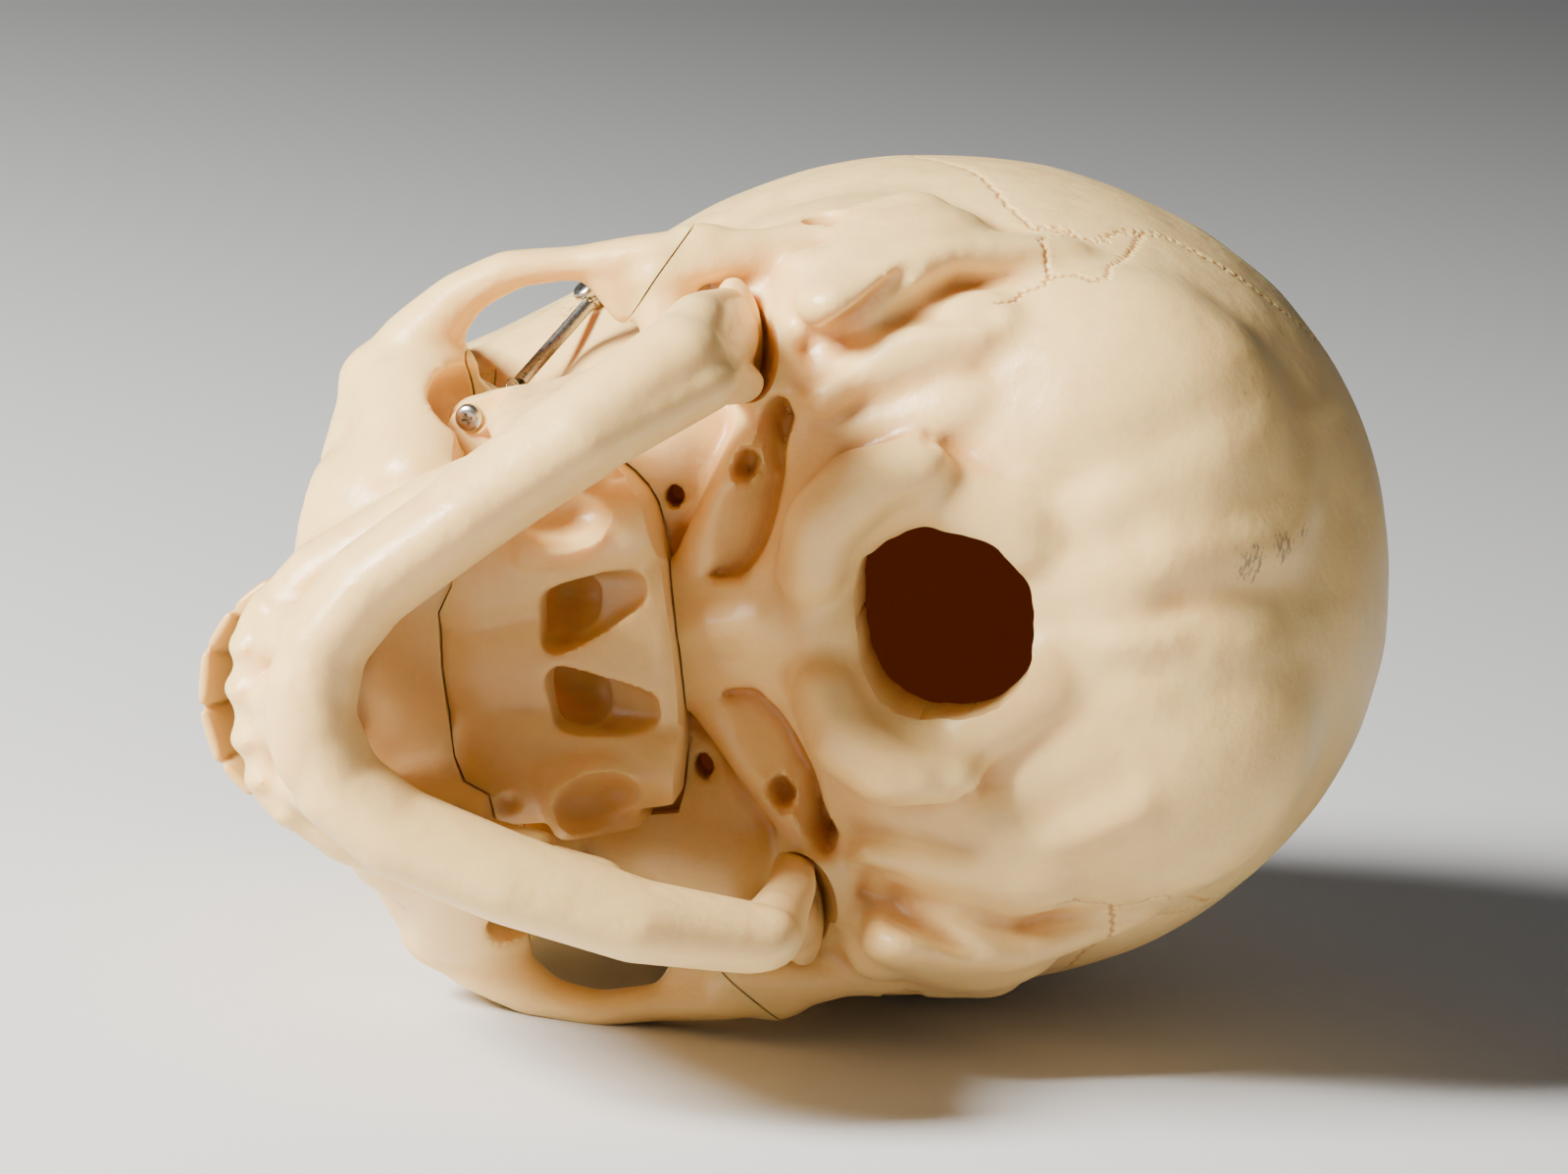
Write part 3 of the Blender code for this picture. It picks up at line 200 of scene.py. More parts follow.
# Hollows
FOSSAE = [((-0.3, 0.16, 0.31), (0.17, 0.19, 0.15)), ((0.38, 0.02, 0.22), (0.26, 0.17, 0.24))]
ORBIT = [((-1.02, 0.165, 0.345), 1.0), ((-0.84, 0.17, 0.312), 0.86), ((-0.5, 0.12, 0.15), 0.13)]
NOSE = [
    [((-1.05, -0.125), (0.1, 0.075), 1.0), ((-0.6, -0.15), (0.08, 0.11), 1.0)],
    [((-1.05, -0.12), (0.1, 0.075), 1.0), ((-1.02, 0.0), (0.11, 0.06), 0.78)],
    [((-1.02, -0.02), (0.1, 0.07), 0.78), ((-0.66, 0.0), (0.08, 0.12), 0.78)],
    [((-1.0, 0.05), (0.09, 0.045), 0.4), ((-0.7, 0.06), (0.08, 0.06), 0.4)],
]
CANINE_FOSSA = ((-0.92, -0.2, 0.3), (0.09, 0.12, 0.085))
INFRATEMPORAL = ((-0.545, -0.18, 0.41), (0.12, 0.15, 0.085))
SOCKET_MOUTH = ((-0.145, -0.23, 0.48), (0.08, 0.06, 0.12))
EAR_CANAL = (0.0, 0.01, 0.62)
EAR_CANAL_REACH = 0.14

# Ramps that are cut into the base, in stations: steep edge, its floor, gentle edge, its level.
# The trench beside the basilar plate, then the digastric groove
RAMPS = [
    [((-0.205, 0.098), -0.185, (-0.236, 0.116), -0.235), ((-0.168, 0.106), -0.15, (-0.226, 0.158), -0.225),
     ((-0.141, 0.137), -0.145, (-0.222, 0.198), -0.22), ((-0.12, 0.182), -0.135, (-0.2, 0.222), -0.215),
     ((-0.101, 0.24), -0.115, (-0.148, 0.24), -0.195), ((-0.09, 0.3), -0.09, (-0.12, 0.3), -0.17),
     ((-0.08, 0.345), -0.07, (-0.108, 0.345), -0.165), ((-0.074, 0.368), -0.11, (-0.094, 0.37), -0.19)],
    [((-0.04, 0.452), -0.16, (-0.03, 0.398), -0.205), ((0.015, 0.482), -0.18, (0.03, 0.42), -0.225),
     ((0.068, 0.512), -0.195, (0.092, 0.462), -0.225), ((0.112, 0.543), -0.2, (0.13, 0.508), -0.225),
     ((0.168, 0.578), -0.19, (0.172, 0.566), -0.205)],
]
RAMP_TOP = -0.4
RAMP_EDGE = (0.01, 0.014, 0.01)

# Rounded hollows: lacerum, mouths of the oval foramen, the tube slot and the canal behind the
# condyle, then dents of the plate and dishes at the mastoid root
SOFT_PITS = [
    [((-0.224, -0.24, 0.1), (0.014, 0.115, 0.013)), ((-0.176, -0.24, 0.101), (0.016, 0.125, 0.014))],
    [((-0.3, -0.205, 0.236), (0.03, 0.075, 0.034)), ((-0.284, -0.16, 0.226), (0.02, 0.075, 0.024))],
    [((-0.245, -0.17, 0.284), (0.013, 0.06, 0.01)), ((-0.222, -0.17, 0.272), (0.01, 0.06, 0.012))],
    [((-0.258, -0.2, 0.206), (0.01, 0.075, 0.012)), ((-0.222, -0.19, 0.26), (0.011, 0.075, 0.012))],
    [((0.165, -0.32, 0.296), (0.026, 0.06, 0.018)), ((0.19, -0.31, 0.29), (0.03, 0.045, 0.02))],
    [((-0.195, -0.2, 0.44), (0.05, 0.06, 0.03)), ((-0.19, -0.19, 0.385), (0.03, 0.05, 0.02))],
]
# Crisp holes: jugular fossa, carotid canal, oval foramen, spinous foramen, end of the slot, canal
# behind the condyle, stylomastoid hole, mastoid foramina
CRISP_PITS = [
    [((-0.09, -0.2, 0.318), (0.016, 0.15, 0.02)), ((-0.078, -0.2, 0.346), (0.018, 0.13, 0.014))],
    [((-0.152, -0.24, 0.262), (0.026, 0.14, 0.028)), ((-0.146, -0.24, 0.276), (0.026, 0.14, 0.028))],
    [((-0.283, -0.2, 0.222), (0.015, 0.4, 0.022)), ((-0.278, -0.2, 0.228), (0.015, 0.4, 0.02))],
    [((-0.248, -0.2, 0.287), (0.009, 0.14, 0.007)), ((-0.238, -0.2, 0.283), (0.008, 0.14, 0.007))],
    [((-0.217, -0.2, 0.274), (0.006, 0.135, 0.005)), ((-0.214, -0.2, 0.278), (0.005, 0.135, 0.005))],
    [((0.148, -0.32, 0.3), (0.009, 0.11, 0.013)), ((0.158, -0.32, 0.292), (0.01, 0.1, 0.012))],
    [((-0.022, -0.25, 0.424), (0.008, 0.12, 0.008)), ((-0.016, -0.25, 0.428), (0.008, 0.12, 0.008))],
    [((0.252, -0.19, 0.536), (0.01, 0.11, 0.01)), ((0.254, -0.19, 0.537), (0.01, 0.11, 0.01))],
    [((0.222, -0.15, 0.56), (0.005, 0.11, 0.005)), ((0.224, -0.15, 0.56), (0.005, 0.11, 0.005))],
]
INFRAORBITAL = ((-0.868, -0.125, 0.29), (0.05, 0.018, 0.014))

# Relief of the underside as it is seen from below: rise and reach in metres, then a path
RELIEF = [
    (-0.0007, 0.004, ((0.06, 0.365), (0.13, 0.38), (0.259, 0.365), (0.321, 0.345))),
    (-0.0014, 0.0015, ((0.102, 0.477), (0.159, 0.487), (0.213, 0.475), (0.271, 0.477))),
    (-0.0009, 0.0026, ((0.144, 0.501), (0.208, 0.505), (0.253, 0.494))),
    (0.0008, 0.0018, ((0.102, 0.455), (0.174, 0.463), (0.251, 0.452))),
    (0.0013, 0.0042, ((0.531, 0.07), (0.617, 0.062), (0.704, 0.062), (0.74, 0.104), (0.756, 0.174),
                      (0.767, 0.232))),
    (-0.0013, 0.0046, ((0.53, -0.006), (0.61, -0.016), (0.69, -0.03))),
    (-0.0008, 0.0034, ((0.35, -0.012), (0.444, -0.026), (0.53, -0.02))),
    (-0.0006, 0.0022, ((0.419, -0.113), (0.481, -0.123))),
    (0.0007, 0.003, ((0.432, -0.064), (0.518, -0.067))),
    (0.0006, 0.003, ((0.432, -0.15), (0.47, -0.166))),
    (0.0008, 0.0038, ((0.578, -0.1), (0.649, -0.105))),
    (0.0014, 0.0032, ((0.204, -0.389), (0.296, -0.384), (0.429, -0.335))),
    (-0.0009, 0.0036, ((0.222, -0.337), (0.319, -0.321), (0.402, -0.288))),
    (-0.0011, 0.005, ((0.354, 0.207), (0.49, 0.237), (0.61, 0.286), (0.655, 0.29))),
    (-0.0009, 0.004, ((0.332, 0.12), (0.393, 0.098), (0.456, 0.103))),
    (0.0007, 0.004, ((0.307, 0.193), (0.383, 0.154), (0.479, 0.175))),
    (-0.001, 0.0036, ((0.788, 0.211), (0.785, 0.087), (0.763, -0.036))),
    (0.0004, 0.0018, ((0.299, -0.045), (0.375, -0.06), (0.517, -0.065))),
    (-0.0009, 0.0016, ((0.124, -0.244), (0.142, -0.285))),
    (-0.0006, 0.0014, ((-0.113, 0.009), (-0.11, 0.073), (-0.094, 0.14), (-0.059, 0.205), (0.002, 0.26))),
    (-0.0006, 0.0014, ((-0.108, -0.07), (-0.075, -0.13), (-0.015, -0.195), (0.063, -0.24))),
    (-0.0009, 0.002, ((-0.268, 0.08), (-0.211, 0.059))),
    (-0.0008, 0.002, ((-0.262, -0.03), (-0.2, -0.04))),
    (0.0009, 0.002, ((-0.15, 0.02), (-0.3, 0.01))),
    (0.001, 0.0024, ((-0.01, 0.365), (0.01, 0.385))),
]
# Slow swell of the whole skin: its height in metres and how many lumps a metre holds
SWELL = (0.0003, 85.0)

# Outline of the cut round the foramen magnum
FORAMEN_OUTLINE = [
    (0.01, 0.062), (0.023, 0.102), (0.047, 0.119), (0.073, 0.133), (0.106, 0.145), (0.139, 0.149),
    (0.183, 0.136), (0.233, 0.116), (0.265, 0.082), (0.292, 0.038), (0.294, -0.005), (0.29, -0.048),
    (0.279, -0.091), (0.257, -0.121), (0.226, -0.144), (0.192, -0.158), (0.152, -0.162), (0.113, -0.16),
    (0.075, -0.15), (0.042, -0.128), (0.02, -0.097), (0.009, -0.064), (0.005, -0.015), (0.007, 0.032),
]

# Levels of the cut with the share that it is wider there, its curve steps, and its nicks:
# their share of the radius, how slowly they change with the level, and how many a metre holds
FORAMEN_LEVELS = ((-0.6, 1.1), (-0.33, 1.05), (-0.275, 1.0), (0.1, 1.0))
FORAMEN_STEPS = 5
FORAMEN_NICKS = (0.022, 50, 420)

# Sutures: sideways zigzag and its length in metres, both sides or the middle, then a path that is
# thrown onto the skin. Mastoid, lambdoid with its two branches, sagittal, coronal, squamosal
SUTURES = [
    (0.0003, 0.0016, True, ((0.271, -0.148, 0.477), (0.303, -0.144, 0.483), (0.317, -0.125, 0.499),
                            (0.354, -0.115, 0.508), (0.365, -0.096, 0.517), (0.357, -0.059, 0.531),
                            (0.337, -0.016, 0.552), (0.353, 0.003, 0.56), (0.347, 0.025, 0.573),
                            (0.375, 0.039, 0.576), (0.411, 0.048, 0.572))),
    (0.0004, 0.0014, True, ((0.365, -0.096, 0.517), (0.405, -0.085, 0.518), (0.433, -0.109, 0.506),
                            (0.456, -0.096, 0.509), (0.462, -0.04, 0.525), (0.476, -0.009, 0.528),
                            (0.492, 0.041, 0.536), (0.505, 0.11, 0.552), (0.52, 0.155, 0.565))),
    (0.0009, 0.002, True, ((0.34, 0.06, 0.6), (0.38, 0.068, 0.59), (0.411, 0.048, 0.572),
                            (0.446, 0.053, 0.561), (0.462, 0.089, 0.569), (0.493, 0.126, 0.571),
                            (0.54, 0.171, 0.557), (0.594, 0.184, 0.525), (0.648, 0.199, 0.487),
                            (0.701, 0.222, 0.439), (0.738, 0.253, 0.4), (0.776, 0.315, 0.359))),
    (0.0016, 0.0034, True, ((0.776, 0.315, 0.359), (0.79, 0.42, 0.3), (0.76, 0.58, 0.215),
                            (0.705, 0.74, 0.11), (0.67, 0.84, 0.0))),
    (0.0015, 0.0036, False, ((0.67, 0.84, 0.0), (0.56, 1.0, 0.004), (0.38, 1.13, -0.006),
                             (0.18, 1.19, 0.004), (0.0, 1.19, 0.0), (-0.24, 1.17, 0.0))),
    (0.0012, 0.003, True, ((-0.24, 1.17, 0.0), (-0.225, 1.13, 0.2), (-0.235, 1.0, 0.43),
                            (-0.29, 0.82, 0.57), (-0.35, 0.64, 0.6), (-0.41, 0.47, 0.56),
                            (-0.47, 0.3, 0.5))),
    (0.0003, 0.004, True, ((-0.47, 0.3, 0.5), (-0.4, 0.42, 0.56), (-0.26, 0.52, 0.64),
                            (-0.06, 0.54, 0.7), (0.12, 0.47, 0.72), (0.24, 0.3, 0.7),
                            (0.3, 0.13, 0.64), (0.34, 0.06, 0.6))),
]
SUTURE_STEP = 0.00035
SUTURE_WIDTH = 0.00032
SUTURE_DEPTH = 0.00042
# Share of the zigzag that is wild, how wide it sways, and how many waves a metre holds across and
# along, with the scale of the sway in the first
SUTURE_WILD, SUTURE_SPREAD = 0.6, 1.6
SUTURE_WAVES = (900, 1300, 9000)
# Edges longer than the second length are split within the first length of a suture
SUTURE_SPLITS = ((0.0012, 0.0007), (0.0009, 0.00036))
VAULT_MIDDLE = (0.0, 0.42, 0.0)

# Scuffs and stains on the back of the head: place, reach in metres and strength
SCUFFS = [
    ((0.59, -0.155, 0.425), 0.0018, 0.7), ((0.67, -0.15, 0.307), 0.0022, 0.8),
    ((0.7, -0.1, 0.3), 0.002, 0.8), ((0.825, 0.18, 0.199), 0.0034, 0.7),
    ((0.8, 0.13, 0.24), 0.002, 0.5), ((0.646, -0.18, 0.036), 0.0046, 1.0),
    ((0.7, -0.13, 0.05), 0.004, 1.0), ((0.729, -0.08, 0.07), 0.0036, 0.8),
    ((0.735, -0.07, 0.115), 0.0026, 0.6), ((0.56, -0.22, 0.34), 0.0018, 0.5),
    ((-0.6, -0.35, 0.1), 0.003, 0.5), ((0.02, -0.31, 0.1), 0.0026, 0.5),
]

# Seams of the face moulding and pocket of the nasal insert
FACE_SEAM = -0.6
BROW_SEAM = 0.255
ARCH_SEAM = ((-0.345, 0.5), (-0.19, 0.68))
ARCH_LEVELS = (-0.3, 0.04)
ARCH_INNER = 0.505
POCKET_LEVELS = (-0.6, -0.085)
POCKET_OUTLINE = [
    (-0.6, 0.29), (-0.612, 0.2), (-0.622, 0.138), (-0.648, 0.097), (-0.652, 0.01), (-0.651, -0.054),
    (-0.647, -0.134), (-0.635, -0.175), (-0.598, -0.2), (-0.59, -0.29), (-0.328, -0.29), (-0.314, -0.25),
    (-0.299, -0.166), (-0.291, -0.071), (-0.29, -0.006), (-0.293, 0.058), (-0.296, 0.114), (-0.303, 0.174),
    (-0.309, 0.22), (-0.32, 0.248), (-0.337, 0.272), (-0.355, 0.29),
]

INSERT_MASSES = [((-0.46, -0.19, 0.0), (0.22, 0.155, 0.28)), ((-0.37, -0.13, 0.0), (0.14, 0.11, 0.36))]
INSERT_STRUTS = [
    [((-0.6, -0.335, 0.15), (0.09, 0.045, 0.11)), ((-0.33, -0.24, 0.2), (0.05, 0.1, 0.075))],
    [((-0.44, -0.14, 0.22), (0.12, 0.08, 0.06)), ((-0.44, -0.345, 0.2), (0.075, 0.05, 0.05))],
    [((-0.6, -0.325, 0.0), (0.08, 0.05, 0.11)), ((-0.32, -0.22, 0.0), (0.05, 0.09, 0.12))],
    [((-0.34, -0.16, 0.25), (0.06, 0.09, 0.05)), ((-0.46, -0.2, 0.25), (0.06, 0.09, 0.05))],
    [((-0.505, -0.335, 0.165), (0.03, 0.045, 0.018)), ((-0.44, -0.345, 0.175), (0.03, 0.04, 0.016)),
     ((-0.345, -0.26, 0.185), (0.03, 0.04, 0.018))],
    [((-0.505, -0.335, 0.175), (0.03, 0.045, 0.018)), ((-0.48, -0.33, 0.275), (0.03, 0.045, 0.018)),
     ((-0.4, -0.25, 0.285), (0.03, 0.05, 0.016))],
]
# Corners of a rear nose opening: deep at the front and rising to the rear, then the passage
CHOANA = [
    ((-0.468, -0.2, 0.034), (0.026, 0.045, 0.025)), ((-0.462, -0.2, 0.092), (0.026, 0.045, 0.025)),
    ((-0.472, -0.43, 0.034), (0.024, 0.03, 0.025)), ((-0.466, -0.43, 0.092), (0.024, 0.03, 0.025)),
    ((-0.428, -0.222, 0.044), (0.026, 0.04, 0.024)), ((-0.418, -0.222, 0.108), (0.026, 0.04, 0.026)),
    ((-0.35, -0.302, 0.086), (0.03, 0.036, 0.022)), ((-0.346, -0.302, 0.108), (0.03, 0.036, 0.024)),
    ((-0.35, -0.43, 0.086), (0.03, 0.03, 0.022)), ((-0.346, -0.43, 0.108), (0.03, 0.03, 0.024)),
]
CHOANA_PASSAGE = [((-0.46, -0.165, 0.08), (0.055, 0.07, 0.055)), ((-0.72, -0.16, 0.08), (0.06, 0.07, 0.05))]
# Dishes between the wings, and the rounded corners that the insert's outline has
SIDE_DISHES = [((-0.42, -0.395, 0.238), (0.082, 0.095, 0.058)), ((-0.57, -0.4, 0.225), (0.034, 0.05, 0.03))]
# The torn rear corner of the insert, on the right alone
TORN_CORNER = ((-0.372, -0.6, -0.4), (-0.25, 0.1, -0.256))

JAW_STRUTS = [
    [((-0.795, -0.79, 0.02), (0.07, 0.093, 0.05)), ((-0.77, -0.784, 0.11), (0.069, 0.096, 0.07)),
     ((-0.69, -0.77, 0.192), (0.068, 0.106, 0.072)), ((-0.53, -0.738, 0.285), (0.07, 0.116, 0.07)),
     ((-0.345, -0.68, 0.378), (0.067, 0.115, 0.064)), ((-0.18, -0.57, 0.44), (0.075, 0.095, 0.054))],
    [((-0.165, -0.52, 0.445), (0.055, 0.06, 0.05)), ((-0.138, -0.3, 0.41), (0.042, 0.05, 0.032)),
     ((-0.148, -0.12, 0.4), (0.036, 0.04, 0.03))],
    [((-0.895, -0.64, 0.02), (0.052, 0.06, 0.05)), ((-0.872, -0.64, 0.12), (0.056, 0.06, 0.058)),
     ((-0.785, -0.62, 0.198), (0.06, 0.07, 0.06)), ((-0.6, -0.6, 0.28), (0.066, 0.08, 0.063)),
     ((-0.42, -0.61, 0.34), (0.064, 0.08, 0.058))],
    [((-0.87, -0.66, 0.02), (0.05, 0.06, 0.05)), ((-0.8, -0.77, 0.02), (0.06, 0.08, 0.05))],
    [((-0.845, -0.66, 0.115), (0.05, 0.06, 0.05)), ((-0.77, -0.77, 0.11), (0.06, 0.08, 0.06))],
    [((-0.425, -0.57, 0.364), (0.07, 0.1, 0.05)), ((-0.48, -0.3, 0.405), (0.075, 0.08, 0.04)),
     ((-0.545, -0.14, 0.402), (0.046, 0.05, 0.03))],
    [((-0.48, -0.26, 0.405), (0.065, 0.08, 0.038)), ((-0.578, -0.165, 0.385), (0.052, 0.06, 0.042))],
    [((-0.17, -0.54, 0.45), (0.065, 0.09, 0.048)), ((-0.165, -0.3, 0.465), (0.052, 0.06, 0.038)),
     ((-0.15, -0.145, 0.48), (0.04, 0.04, 0.06))],
]
# The left angle of the jaw flares out as far as the outer end of its condyle
JAW_FLARE = [
    [((-0.53, -0.738, 0.29), (0.068, 0.11, 0.07)), ((-0.35, -0.68, 0.385), (0.072, 0.115, 0.078)),
     ((-0.195, -0.575, 0.478), (0.072, 0.095, 0.072))],
    [((-0.195, -0.575, 0.478), (0.068, 0.09, 0.068)), ((-0.172, -0.49, 0.528), (0.05, 0.08, 0.046)),
     ((-0.172, -0.33, 0.53), (0.042, 0.07, 0.038)), ((-0.158, -0.15, 0.515), (0.038, 0.04, 0.045))],
    [((-0.172, -0.33, 0.51), (0.042, 0.07, 0.045)), ((-0.16, -0.16, 0.43), (0.034, 0.04, 0.03))],
]
# Lumps over the roots of the front teeth
JAW_LUMPS = [
    ((-0.918, -0.635, 0.04), (0.038, 0.07, 0.03)), ((-0.905, -0.63, 0.104), (0.038, 0.075, 0.03)),
    ((-0.868, -0.625, 0.158), (0.04, 0.075, 0.034)), ((-0.815, -0.615, 0.2), (0.04, 0.07, 0.034)),
    ((-0.74, -0.61, 0.228), (0.042, 0.065, 0.032)),
]
RAMUS_PLATE = [
    ((-0.19, -0.54, 0.44), (0.05, 0.08, 0.038)), ((-0.4, -0.56, 0.385), (0.06, 0.09, 0.044)),
    ((-0.44, -0.3, 0.412), (0.05, 0.06, 0.034)), ((-0.185, -0.3, 0.462), (0.04, 0.05, 0.034)),
]
# Ragged outline of the thin tongue that the jaw screw sits on, in the plane of its seat
TONGUE = [
    (-0.44, -0.266, 0.396), (-0.478, -0.26, 0.416), (-0.528, -0.25, 0.428), (-0.566, -0.242, 0.426),
    (-0.589, -0.236, 0.416), (-0.609, -0.23, 0.405), (-0.619, -0.226, 0.392), (-0.63, -0.223, 0.378),
    (-0.629, -0.221, 0.37), (-0.637, -0.219, 0.362), (-0.635, -0.218, 0.354), (-0.641, -0.217, 0.349),
    (-0.635, -0.218, 0.343), (-0.64, -0.216, 0.335), (-0.629, -0.218, 0.336), (-0.624, -0.218, 0.328),
    (-0.593, -0.223, 0.308), (-0.525, -0.239, 0.319), (-0.44, -0.262, 0.35),
]
TONGUE_DEPTH = 0.0028
CHIN = ((-0.8, -0.824, 0.0), (0.066, 0.062, 0.13))

# Teeth from the middle back: place, half sizes of the crown along and across the row, kind
UPPER_TEETH = [
    ((-0.985, 0.042), 0.042, 0.036, "incisor"), ((-0.956, 0.106), 0.032, 0.034, "incisor"),
    ((-0.902, 0.148), 0.037, 0.038, "canine"), ((-0.836, 0.182), 0.036, 0.041, "premolar"),
    ((-0.765, 0.208), 0.037, 0.043, "premolar"), ((-0.675, 0.24), 0.051, 0.048, "molar"),
    ((-0.58, 0.278), 0.048, 0.05, "molar"),
]
LOWER_TEETH = [
    ((-0.925, 0.028), 0.027, 0.032, "incisor"), ((-0.91, 0.086), 0.031, 0.033, "incisor"),
    ((-0.868, 0.142), 0.036, 0.038, "canine"), ((-0.806, 0.186), 0.036, 0.04, "premolar"),
    ((-0.736, 0.215), 0.037, 0.043, "premolar"), ((-0.64, 0.246), 0.054, 0.05, "molar"),
    ((-0.53, 0.276), 0.052, 0.05, "molar"),
]
# Thickness of a biting edge as a share of the crown's depth, how far it leans out, and the crown's
# rings: level from gum to edge, share of the length along the row and of the depth across it
CROWN_EDGE = {"incisor": 0.22, "canine": 0.38, "premolar": 0.84, "molar": 0.92}
CROWN_LEAN = 0.9
CROWN_RINGS = ((-0.25, 0.62, 0.62), (0.08, 0.84, 0.86), (0.35, 0.96, 1.0), (0.62, 1.0, 1.0),
               (0.86, 1.0, 1.0), (1.0, 0.92, 0.86))
CROWN_SIDES = 16
# Powers that square the ring along and across the row, and how far crowns overlap
CROWN_SQUARING = (0.55, 0.7)
CROWN_OVERLAP = 1.08
UPPER_GUM = -0.435
LOWER_GUM = -0.625
BITE = -0.53

# Cell of the remesh in metres and rounds of softening, for each body that is moulded by itself
BROAD_MOULD = (0.002, 40)
HOLLOW_MOULD = (0.002, 4)
ORBIT_MOULD = (0.0015, 4)
NOSE_MOULD = (0.001, 3)
SOCKET_MOULD = (0.0008, 1)
SOFT_MOULD = (0.0006, 7)
CRISP_MOULD = (0.0005, 2)
GROOVE_MOULD = (0.0008, 2)
# Rounds of softening for the skins whose cells the panel sets
HEAD_ROUNDS, HEAD_SOFT_ROUNDS, HEAD_CRISP_ROUNDS = 10, 3, 1
INSERT_ROUNDS, INSERT_CUT_ROUNDS, CHOANA_ROUNDS = 10, 3, 2
JAW_ROUNDS, TOOTH_ROUNDS = 8, 3
# Most triangles of the three big castings
CAP_TRIANGLES, BASE_TRIANGLES, FACE_TRIANGLES = 90000, 150000, 120000

# Wound and turned steel: pitch of the coil in wires, steps of a turn, sweep of an end ring, sides of
# the wire in ring and coil, steps of the lathe, and the recess: its turn and how far it narrows
SPRING_PITCH, COIL_STEPS, RING_SWEEP = 1.06, 18, 0.98
RING_SIDES, COIL_SIDES, LATHE_STEPS = 10, 8, 40
RECESS_TURN, RECESS_TAPER = 0.4, (0.45, 0.7)
# Way of the seat's length for the left screw, and its overlap with the screw in radii
SEAT_WAY, SEAT_OVERLAP = (0.83, 0.55), 1.25

# The studio: name, place, size and power of its two square lights, the point they face, how bright
# the room is, and the camera: its place in millimetres, its axes and its focal length in photo pixels
LIGHTS = (("key", (-1.05, -0.72, 0.90), 0.45, 92.0), ("fill", (0.9, -0.9, 0.5), 1.0, 0.5))
LIGHT_AIM = (0, 0, 0.06)
ROOM_LIGHT = 0.10
CAMERA_PLACE = (76.034, -964.98, 105.668)
CAMERA_RIGHT = (0.99135, 0.08020, -0.10390)
CAMERA_DOWN = (-0.09460, -0.11207, -0.98919)
CAMERA_AHEAD = (-0.09098, 0.99046, -0.10352)
FOCAL_PIXELS, PHOTO_WIDTH, FILM = 6000, 1599, 36.0
FLOOR_SIZE = 6.0

# Lengths in metres
WALL = 0.0048
SEAM_GAP = 0.0003
ORBIT_SIZE = (0.039, 0.0335)
NOSE_WIDTH = 0.025
SEPTUM = 0.0026
EAR_BORE = 0.007
CONDYLE = (0.0084, 0.019)
CONDYLE_GAP = 0.0006
BITE_GAP = 0.0005
ROOT_GAP = 0.0005
SAW_HEIGHT = 0.043
SAW_LEAN = math.radians(-5.0)
PEG_BOSS = (0.0085, 0.015)
PEG_BORE = 0.0015
PEGS = ((-0.925, 0.0), (0.35, 0.61), (0.35, -0.61))
FAR = 0.4
SCREW_HEAD = 0.0015
SHANK_BORE = 0.0011
ROOM_SKIN = 0.0006
PEG_REACH = 0.0058
GUM_BEAD = 0.0012
SCREW_SHANK = 0.0008
SCREW_SLOT = (0.00052, 0.0018)
SPRING_EYE = 0.0016
# Where the spring's rings sit: below the end of the temple screw and above the tip of the jaw screw
SPRING_HOLDS = (0.0033, 0.0009)
SEAT_REACH = (0.0115, 0.0115, 0.008)
SEAT_BEVEL = 0.0012


class SkullSizes(bpy.types.PropertyGroup):
    """Sizes of the detail that the casts and the steel parts are made with."""

    head_cell: bpy.props.FloatProperty(
        name="Head detail", description="Size of the cells that the head is moulded from",
        default=0.0009, min=0.0006, max=0.004, unit="LENGTH")
    jaw_cell: bpy.props.FloatProperty(
        name="Jaw detail", description="Size of the cells that the jaw is moulded from",
        default=0.0008, min=0.0004, max=0.003, unit="LENGTH")
    insert_cell: bpy.props.FloatProperty(
        name="Insert detail", description="Size of the cells that the nasal insert is moulded from",
        default=0.0006, min=0.0003, max=0.002, unit="LENGTH")
    tooth_cell: bpy.props.FloatProperty(
        name="Tooth detail", description="Size of the cells that the teeth are moulded from",
        default=0.0004, min=0.0002, max=0.001, unit="LENGTH")
    wire: bpy.props.FloatProperty(
        name="Spring wire", description="Diameter of the steel wire of the jaw springs",
        default=0.00045, min=0.0002, max=0.001, unit="LENGTH")
    coil: bpy.props.FloatProperty(
        name="Spring coil", description="Outer diameter of the jaw springs",
        default=0.0024, min=0.001, max=0.005, unit="LENGTH")


